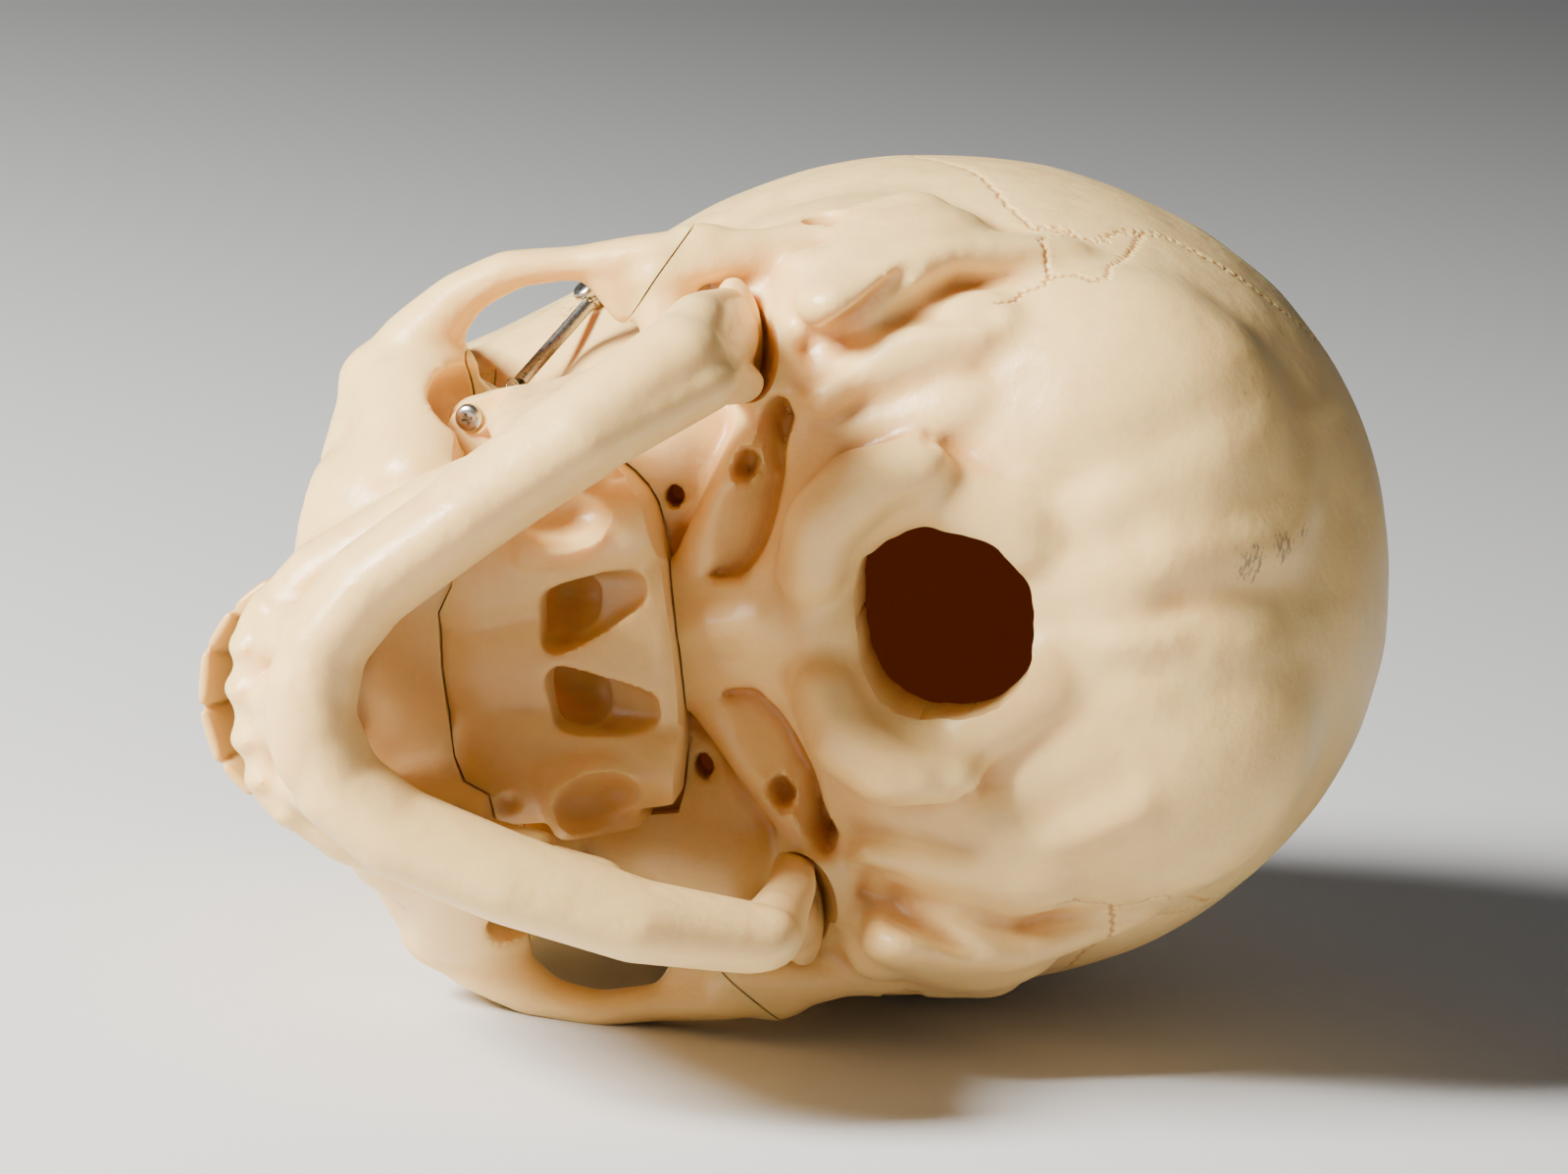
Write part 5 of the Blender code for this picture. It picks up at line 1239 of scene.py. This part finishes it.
def moulded_vinyl():
    """Soft PVC, slush-moulded and satin: cream, translucent and scuffed, with painted shade in its hollows,
    and painted shade and a painted glow inside the head.
    """
    mat, tree, shader = new_material("moulded_vinyl")
    spot = node(tree, "ShaderNodeTexCoord").outputs["Object"]
    hollow = node(tree, "ShaderNodeAttribute", {"attribute_name": "hollow"}).outputs["Fac"]
    seam = node(tree, "ShaderNodeAttribute", {"attribute_name": "seam"}).outputs["Fac"]
    scuff = node(tree, "ShaderNodeAttribute", {"attribute_name": "scuff"}).outputs["Fac"]
    inside = node(tree, "ShaderNodeAttribute", {"attribute_name": "inside"}).outputs["Fac"]
    # Clouds 30 mm wide where the wall of the cast is thicker or thinner
    cloud = node(tree, "ShaderNodeTexNoise", {"Scale": 34.0, "Detail": 3.0, "Roughness": 0.55}, Vector=spot)
    # Mottle 4 mm wide from the mould
    mottle = node(tree, "ShaderNodeTexNoise", {"Scale": 260.0, "Detail": 4.0, "Roughness": 0.6}, Vector=spot)
    # Painted shade: hollows are coloured towards the darker amber-brown, added to the warmer tone of the
    # clouds
    deep = ramp(tree, hollow, 0.12, 1.1, 0.0, 0.85)
    drift = ramp(tree, cloud.outputs["Fac"], 0.42, 0.75, 0.0, 0.16)
    shade_and_drift = node(tree, "ShaderNodeMath", {"operation": "ADD", "use_clamp": True},
                i0=deep.outputs["Result"], i1=drift.outputs["Result"])
    tone = node(tree, "ShaderNodeMix", {"data_type": "RGBA"}, i0=shade_and_drift.outputs[0])
    tone.inputs[6].default_value = (*colours().vinyl, 1)
    tone.inputs[7].default_value = (*colours().painted_shade_and_warm_tone, 1)
    # Painted shade inside the head, over the darker tone of unpainted vinyl
    raw = node(tree, "ShaderNodeMix", {"data_type": "RGBA"}, i0=inside, i6=tone.outputs[2])
    raw.inputs[7].default_value = (*colours().inside_tone_and_painted_shade, 1)
    speck = ramp(tree, mottle.outputs["Fac"], 0.3, 0.75, 0.96, 1.03)
    tint = node(tree, "ShaderNodeMix", {"data_type": "RGBA", "blend_type": "MULTIPLY", 0: 1.0},
                i6=raw.outputs[2], i7=speck.outputs["Result"])
    line = ramp(tree, seam, 0.1, 0.9, 0.0, 0.85)
    stained = node(tree, "ShaderNodeMix", {"data_type": "RGBA"}, i0=line.outputs["Result"],
                   i6=tint.outputs[2])
    stained.inputs[7].default_value = (*colours().amber, 1)
    # Grime in scratches a quarter of a millimetre wide, drawn where the scuffs are
    lay = node(tree, "ShaderNodeMapping", {"Scale": (1.0, 1.0, 0.35)}, Vector=spot)
    grit = node(tree, "ShaderNodeTexNoise", {"Scale": 1500.0, "Detail": 2.0, "Roughness": 0.7},
                Vector=lay.outputs["Vector"])
    rub = node(tree, "ShaderNodeMath", {"operation": "MULTIPLY_ADD", 1: 0.42, 2: -0.62}, i0=scuff)
    worn = node(tree, "ShaderNodeMath", {"operation": "ADD"}, i0=rub.outputs[0], i1=grit.outputs["Fac"])
    grime = ramp(tree, worn.outputs[0], 0.20, 0.32, 0.0, 0.7)
    dirty = node(tree, "ShaderNodeMix", {"data_type": "RGBA"}, i0=grime.outputs["Result"],
                 i6=stained.outputs[2])
    dirty.inputs[7].default_value = (*colours().grime, 1)
    tree.links.new(dirty.outputs[2], shader.inputs["Base Color"])
    gloss = ramp(tree, mottle.outputs["Fac"], 0.3, 0.7, 0.30, 0.48)
    tree.links.new(gloss.outputs["Result"], shader.inputs["Roughness"])
    # Ripples 7 mm wide left by hand work on the pattern, and pores 0.7 mm wide
    swell = node(tree, "ShaderNodeTexNoise", {"Scale": 150.0, "Detail": 5.0, "Roughness": 0.55}, Vector=spot)
    peel = node(tree, "ShaderNodeTexNoise", {"Scale": 1400.0, "Detail": 2.0}, Vector=spot)
    bump = node(tree, "ShaderNodeBump", {"Strength": 0.45, "Distance": 0.0008}, Height=swell.outputs["Fac"])
    fine = node(tree, "ShaderNodeBump", {"Strength": 0.15, "Distance": 0.00018},
                Height=peel.outputs["Fac"], Normal=bump.outputs["Normal"])
    tree.links.new(fine.outputs["Normal"], shader.inputs["Normal"])
    # Painted glow inside the closed head, standing in for light that comes through the wall of the cast
    shader.inputs["Emission Color"].default_value = (0.60, 0.115, 0.015, 1)
    painted_glow = node(tree, "ShaderNodeMath", {"operation": "MULTIPLY", 1: 0.085}, i0=inside)
    tree.links.new(painted_glow.outputs[0], shader.inputs["Emission Strength"])
    shader.inputs["IOR"].default_value = 1.53
    shader.inputs["Subsurface Weight"].default_value = 0.6
    shader.inputs["Subsurface Radius"].default_value = (1.0, 0.48, 0.20)
    shader.inputs["Subsurface Scale"].default_value = 0.0030
    return mat


def tooth_vinyl():
    """Harder, yellower PVC, glossier than the bone, with painted shade in the hollows between the crowns."""
    mat, tree, shader = new_material("yellowed_tooth_vinyl")
    spot = node(tree, "ShaderNodeTexCoord").outputs["Object"]
    cloud = node(tree, "ShaderNodeTexNoise", {"Scale": 220.0, "Detail": 3.0}, Vector=spot)
    hollow = node(tree, "ShaderNodeAttribute", {"attribute_name": "hollow"}).outputs["Fac"]
    # Painted shade: hollows between the crowns are coloured dark brown
    deep = ramp(tree, hollow, 0.0, 0.8, 0.0, 0.9)
    tone = node(tree, "ShaderNodeMix", {"data_type": "RGBA"}, i0=deep.outputs["Result"])
    tone.inputs[6].default_value = (*colours().teeth, 1)
    tone.inputs[7].default_value = (*srgb("#8F5F2A"), 1)
    tree.links.new(tone.outputs[2], shader.inputs["Base Color"])
    gloss = ramp(tree, cloud.outputs["Fac"], 0.0, 1.0, 0.25, 0.4)
    tree.links.new(gloss.outputs["Result"], shader.inputs["Roughness"])
    shader.inputs["Subsurface Weight"].default_value = 0.15
    shader.inputs["Subsurface Radius"].default_value = (1.0, 0.6, 0.3)
    shader.inputs["Subsurface Scale"].default_value = 0.002
    return mat


def bright_steel():
    """Nickelled steel, drawn and turned: bright, with clouded gloss that breaks up its reflections."""
    mat, tree, shader = new_material("nickelled_steel")
    spot = node(tree, "ShaderNodeTexCoord").outputs["Object"]
    cloud = node(tree, "ShaderNodeTexNoise", {"Scale": 900.0, "Detail": 3.0}, Vector=spot)
    gloss = ramp(tree, cloud.outputs["Fac"], 0.0, 1.0, 0.18, 0.38)
    tree.links.new(gloss.outputs["Result"], shader.inputs["Roughness"])
    shader.inputs["Base Color"].default_value = (*colours().steel, 1)
    shader.inputs["Metallic"].default_value = 1.0
    return mat


def paper_floor():
    """Matt pale paper with a faint grain, so that the floor isn't quite even."""
    mat, tree, shader = new_material("paper_floor")
    spot = node(tree, "ShaderNodeTexCoord").outputs["Object"]
    grain = node(tree, "ShaderNodeTexNoise", {"Scale": 700.0, "Detail": 3.0}, Vector=spot)
    bump = node(tree, "ShaderNodeBump", {"Strength": 0.1, "Distance": 0.0002}, Height=grain.outputs["Fac"])
    tree.links.new(bump.outputs["Normal"], shader.inputs["Normal"])
    shader.inputs["Base Color"].default_value = (*colours().floor, 1)
    shader.inputs["Roughness"].default_value = 0.8
    return mat


def shared(name, maker):
    return bpy.data.materials.get(name) or maker()


# Steel parts


def axis_of(node_name):
    """The axis of a packed screw: its tip, its head's top and the radius of its head."""
    mesh = frame["nodes"][node_name].data
    points = coordinates(mesh)
    points = np.array([frame["nodes"][node_name].matrix_world @ Vector(p) for p in points])
    middle = points.mean(axis=0)
    axis = np.linalg.svd(points - middle)[2][0]
    along = (points - middle) @ axis
    radial = np.linalg.norm(points - middle - along[:, None] * axis, axis=1)
    if along[radial.argmax()] < 0:
        axis, along = -axis, -along
    line = points - along[:, None] * axis
    centre = (line.max(axis=0) + line.min(axis=0)) / 2
    return Vector(centre + along.min() * axis), Vector(centre + along.max() * axis), radial.max()


def pan_screw(node_name):
    """A pan-head screw with a cross recess, turned from its profile."""
    tip, top, radius = axis_of(node_name)
    run = (top - tip).length
    axis = (top - tip).normalized()
    head, shank = SCREW_HEAD, SCREW_SHANK
    bm = bmesh.new()
    profile = [(0, 0), (shank * 0.55, 0.0008), (shank, 0.0014), (shank, run - head),
               (radius * 0.94, run - head), (radius, run - head * 0.82), (radius * 0.97, run - head * 0.45),
               (radius * 0.80, run - head * 0.15), (radius * 0.5, run - head * 0.03), (0, run)]
    verts = [bm.verts.new((r, 0, z)) for r, z in profile]
    edges = [bm.edges.new(pair) for pair in zip(verts, verts[1:])]
    bmesh.ops.spin(bm, geom=verts + edges, cent=(0, 0, 0), axis=(0, 0, 1), angle=2 * math.pi,
                   steps=LATHE_STEPS, use_merge=True)
    bmesh.ops.remove_doubles(bm, verts=bm.verts, dist=1e-6)
    screw = mesh_object(node_name, bm)
    wide, deep = SCREW_SLOT
    for turn in (0, math.pi / 2):
        bm = bmesh.new()
        matrix = Matrix.Translation((0, 0, run)) @ Matrix.Rotation(turn + RECESS_TURN, 4, "Z")
        slot = bmesh.ops.create_cube(
            bm, size=1.0, matrix=matrix @ Matrix.Diagonal((radius * 1.15, wide, deep, 1)))
        for vert in slot["verts"]:
            local = matrix.inverted() @ vert.co
            if local.z < 0:
                local.x *= RECESS_TAPER[0]
                local.y *= RECESS_TAPER[1]
                vert.co = matrix @ local
        screw = cut(screw, mesh_object("recess", bm), "DIFFERENCE", "EXACT")
    screw.data.transform(Matrix.Translation(tip) @ axis.to_track_quat("Z", "Y").to_matrix().to_4x4())
    return screw


def wire_end(bm, wire, sides, turn, radius):
    """The outline of a wire at a radius, ready to be swept."""
    verts = bmesh.ops.create_circle(
        bm, segments=sides, radius=wire / 2,
        matrix=turn @ Matrix.Translation((radius, 0, 0)) @ Matrix.Rotation(math.pi / 2, 4, "X"))["verts"]
    return verts + list({e for v in verts for e in v.link_edges})


def ring(bm, centre, normal, radius, wire, start, sweep):
    """Part of a wire ring round a centre."""
    turn = normal.to_track_quat("Z", "Y").to_matrix().to_4x4()
    turn = Matrix.Translation(centre) @ turn @ Matrix.Rotation(start, 4, "Z")
    bmesh.ops.spin(bm, geom=wire_end(bm, wire, RING_SIDES, turn, radius), cent=centre, axis=normal,
                   angle=sweep, steps=int(abs(sweep) * 6))


def jaw_spring(side_name):
    """A close-wound spring with a ring round each screw."""
    tip, top, _ = axis_of(side_name + "_jaw_screw")
    wall, cap, _ = axis_of(side_name + "_temple_screw")
    out = (cap - wall).normalized()
    hold = cap - out * SPRING_HOLDS[0]
    start = tip + (top - tip).normalized() * SPRING_HOLDS[1]
    axis = (hold - start).normalized()
    wire, outer = sizes().wire, sizes().coil
    eye = SPRING_EYE
    foot, end = start + axis * (eye + wire * 1.5), hold - axis * (eye + wire * 1.5)
    length = (end - foot).length
    turns = int(length / (wire * SPRING_PITCH))
    bm = bmesh.new()
    radius = (outer - wire) / 2
    turn = Matrix.Translation(foot) @ axis.to_track_quat("Z", "Y").to_matrix().to_4x4()
    steps = turns * COIL_STEPS
    bmesh.ops.spin(bm, geom=wire_end(bm, wire, COIL_SIDES, turn, radius), cent=foot, axis=axis,
                   angle=2 * math.pi * turns, steps=steps, dvec=axis * length / steps)
    side = axis.cross(out).normalized()
    for centre, way in ((start, -1), (hold, 1)):
        normal = side.cross(axis).normalized() if way > 0 else side
        ring(bm, centre, normal, eye, wire, 0.0, 2 * math.pi * RING_SWEEP)
    return mesh_object(side_name + "_jaw_spring_cast", bm), start, hold


# Operators


class SKULL_OT_head(bpy.types.Operator):
    """Mould the head and saw it into cap, base and face"""

    bl_idname = "skull.head"
    bl_label = "Head mouldings"

    def execute(self, context):
        head, room = hollowed_head()
        cap = cut(copied(head, "cap"), over_saw(SEAM_GAP), "INTERSECT")
        base = cut(head, over_saw(0.0))
        face = cut(copied(base, "face"), face_region(0.0), "INTERSECT")
        base = cut(base, face_region(SEAM_GAP))
        face = main_body(cut(face, pocket(SEAM_GAP)))
        base = main_body(cut(base, pocket(SEAM_GAP)))
        for place, across in PEGS:
            foot = peg_foot(place, across)
            reach = Matrix.Rotation(SAW_LEAN, 3, "Z") @ Vector((0, PEG_REACH, 0))
            cap = cut(cap, rod("bore", foot - reach, foot + reach, PEG_BORE))
            base = cut(base, rod("bore", foot - reach, foot + reach, PEG_BORE))
        face = socketed(face, tooth_row("uppers", UPPER_TEETH, UPPER_GUM, 1))
        bpy.data.objects.remove(bpy.data.objects["uppers"], do_unlink=True)
        vinyl = shared("moulded_vinyl", moulded_vinyl)
        cap, base = thinned(cap, CAP_TRIANGLES), thinned(base, BASE_TRIANGLES)
        face = thinned(face, FACE_TRIANGLES)
        engraved([cap, base])
        scuffed(base)
        inside_attribute(cap, room)
        inside_attribute(base, room)
        for obj, name, node_name, body in ((cap, "cap_cast", "skull_cap", "cap"),
                                           (base, "base_cast", "cranial_base", "head"),
                                           (face, "face_cast", "facial_skeleton", "head")):
            obj = laid(obj, True)
            hollow_attribute(obj)
            finished(obj, name, node_name, body, vinyl)
        return {"FINISHED"}


class SKULL_OT_insert(bpy.types.Operator):
    """Mould the nasal insert with both rear openings of the nose"""

    bl_idname = "skull.insert"
    bl_label = "Nasal insert"

    def execute(self, context):
        insert = laid(nasal_insert())
        hollow_attribute(insert)
        finished(insert, "insert_cast", "nasal_insert", "head",
                 shared("moulded_vinyl", moulded_vinyl))
        return {"FINISHED"}


def screw_seat(side_name):
    """The block that is cut away above the thin tongue that a jaw screw sits on."""
    tip, top, radius = axis_of(side_name + "_jaw_screw")
    tip, top = LAY.inverted() @ tip, LAY.inverted() @ top
    axis = (top - tip).normalized()
    seat = top - axis * SCREW_HEAD
    ahead, aside = SEAT_WAY
    along = Vector((ahead, 0, aside if side_name == "left" else -aside))
    along = (along - axis * along.dot(axis)).normalized()
    away = along.cross(axis)
    if away.x > 0:
        away = -away
    reach = Vector(SEAT_REACH)
    middle = seat + axis * reach.z + away * (reach.y - radius * SEAT_OVERLAP)
    turn = Matrix((along, away, axis)).transposed().to_4x4()
    bm = bmesh.new()
    matrix = Matrix.Translation(middle) @ turn @ Matrix.Diagonal((*reach, 1.0))
    bmesh.ops.create_cube(bm, size=2.0, matrix=matrix)
    bmesh.ops.bevel(bm, geom=bm.edges[:], offset=SEAT_BEVEL, segments=3, profile=0.5, affect="EDGES",
                    material=-1)
    return mesh_object("seat", bm)


def tongue(side_name):
    """The thin plate round a jaw screw, its face in the plane of the seat."""
    tip, top, _ = axis_of(side_name + "_jaw_screw")
    axis = (LAY.to_3x3().inverted() @ (top - tip)).normalized()
    side = 1 if side_name == "left" else -1
    bm = bmesh.new()
    face = bm.faces.new([bm.verts.new(placed(spot, side)) for spot in TONGUE])
    grown = bmesh.ops.extrude_face_region(bm, geom=[face])
    deep = [v for v in grown["geom"] if isinstance(v, bmesh.types.BMVert)]
    bmesh.ops.translate(bm, verts=deep, vec=-axis * TONGUE_DEPTH)
    bmesh.ops.translate(bm, verts=bm.verts, vec=axis * 0.00005)
    tip, top = LAY.inverted() @ tip, LAY.inverted() @ top
    plate = mesh_object("tongue", bm)
    return cut(plate, rod("bore", tip, top, SHANK_BORE))


class SKULL_OT_jaw(bpy.types.Operator):
    """Mould the lower jaw"""

    bl_idname = "skull.jaw"
    bl_label = "Lower jaw"

    def execute(self, context):
        lowers = tooth_row("lowers", LOWER_TEETH, LOWER_GUM, -1)
        jaw = socketed(jaw_solid(), lowers)
        for side_name in ("left", "right"):
            jaw = main_body(cut(jaw, screw_seat(side_name)))
            jaw = cut(jaw, tongue(side_name), "UNION")
        bpy.data.objects.remove(lowers, do_unlink=True)
        jaw = laid(jaw)
        hollow_attribute(jaw)
        finished(jaw, "jaw_cast", "mandible", "jaw", shared("moulded_vinyl", moulded_vinyl))
        return {"FINISHED"}


class SKULL_OT_teeth(bpy.types.Operator):
    """Mould both rows of teeth"""

    bl_idname = "skull.teeth"
    bl_label = "Teeth"

    def execute(self, context):
        for name, row, gum, up, body in (("upper_teeth", UPPER_TEETH, UPPER_GUM, 1, "head"),
                                         ("lower_teeth", LOWER_TEETH, LOWER_GUM, -1, "jaw")):
            obj = laid(tooth_row(name + "_row", row, gum, up))
            hollow_attribute(obj, 16, 0.0006)
            material = shared("yellowed_tooth_vinyl", tooth_vinyl)
            finished(obj, name + "_cast", name, body, material)
        return {"FINISHED"}


class SKULL_OT_steel(bpy.types.Operator):
    """Turn the screws, wind the springs and set the pegs"""

    bl_idname = "skull.steel"
    bl_label = "Springs, screws and pegs"

    def execute(self, context):
        steel = shared("nickelled_steel", bright_steel)
        for side_name in ("left", "right"):
            for kind, body in (("_jaw_screw", "jaw"), ("_temple_screw", "head")):
                screw = pan_screw(side_name + kind)
                finished(screw, side_name + kind + "_turned", side_name + kind, body, steel)
            spring, low, high = jaw_spring(side_name)
            finished(spring, side_name + "_spring_wound", side_name + "_jaw_spring", None,
                     steel)
            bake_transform(spring)
        for place in ("front", "left", "right"):
            obj = frame["nodes"][place + "_cap_peg"]
            obj.data.materials.clear()
            obj.data.materials.append(steel)
        return {"FINISHED"}


class SKULL_OT_studio(bpy.types.Operator):
    """Lay the pale sweep, hang the lights and set the camera"""

    bl_idname = "skull.studio"
    bl_label = "Studio"

    def execute(self, context):
        bm = bmesh.new()
        bmesh.ops.create_grid(bm, x_segments=2, y_segments=2, size=FLOOR_SIZE)
        floor = mesh_object("floor", bm)
        floor.data.materials.append(shared("paper_floor", paper_floor))
        scene = context.scene
        world = bpy.data.worlds.new("studio")
        world.use_nodes = True
        background = world.node_tree.nodes["Background"]
        background.inputs["Color"].default_value = (0.95, 0.96, 1.0, 1)
        background.inputs["Strength"].default_value = ROOM_LIGHT
        scene.world = world
        for name, place, size, power in LIGHTS:
            light = bpy.data.lights.new(name, "AREA")
            light.shape = "SQUARE"
            light.size = size
            light.energy = power
            lamp = bpy.data.objects.new(name, light)
            lamp.location = place
            aim = Vector(LIGHT_AIM) - Vector(place)
            lamp.rotation_euler = aim.to_track_quat("-Z", "Y").to_euler()
            scene.collection.objects.link(lamp)
        camera = bpy.data.objects.new("camera", bpy.data.cameras.new("camera"))
        camera.data.sensor_width = FILM
        camera.data.lens = FOCAL_PIXELS / PHOTO_WIDTH * FILM
        camera.data.clip_start = 0.05
        place = Vector(CAMERA_PLACE) / 1000
        right, down, ahead = (Vector(axis) for axis in (CAMERA_RIGHT, CAMERA_DOWN, CAMERA_AHEAD))
        view = Matrix.Identity(4)
        for i, axis in enumerate((right, -down, -ahead, place)):
            for k in range(3):
                view[k][i] = axis[k]
        camera.matrix_world = LAY @ view
        scene.collection.objects.link(camera)
        scene.camera = camera
        return {"FINISHED"}


STEPS = (SKULL_OT_head, SKULL_OT_insert, SKULL_OT_jaw, SKULL_OT_teeth, SKULL_OT_steel, SKULL_OT_studio)


class SKULL_PT_panel(bpy.types.Panel):
    """Lists the pieces of the skull and the studio."""

    bl_idname = "SKULL_PT_panel"
    bl_label = "Skull"
    bl_space_type = "VIEW_3D"
    bl_region_type = "UI"
    bl_category = "Skull"

    def draw(self, context):
        for group in (sizes(), colours()):
            for name in group.bl_rna.properties.keys():
                if name not in ("rna_type", "name"):
                    self.layout.prop(group, name)
        for step in STEPS:
            self.layout.operator(step.bl_idname)


CLASSES = (SkullSizes, SkullColours, *STEPS, SKULL_PT_panel)


def register():
    for cls in CLASSES:
        bpy.utils.register_class(cls)
    bpy.types.Scene.skull_sizes = bpy.props.PointerProperty(type=SkullSizes)
    bpy.types.Scene.skull_colours = bpy.props.PointerProperty(type=SkullColours)


def unregister():
    del bpy.types.Scene.skull_colours
    del bpy.types.Scene.skull_sizes
    for cls in reversed(CLASSES):
        bpy.utils.unregister_class(cls)


def main():
    register()
    for step in STEPS:
        group, name = step.bl_idname.split(".")
        if getattr(getattr(bpy.ops, group), name)() != {"FINISHED"}:
            raise RuntimeError(step.bl_label)


if __name__ == "__main__":
    main()
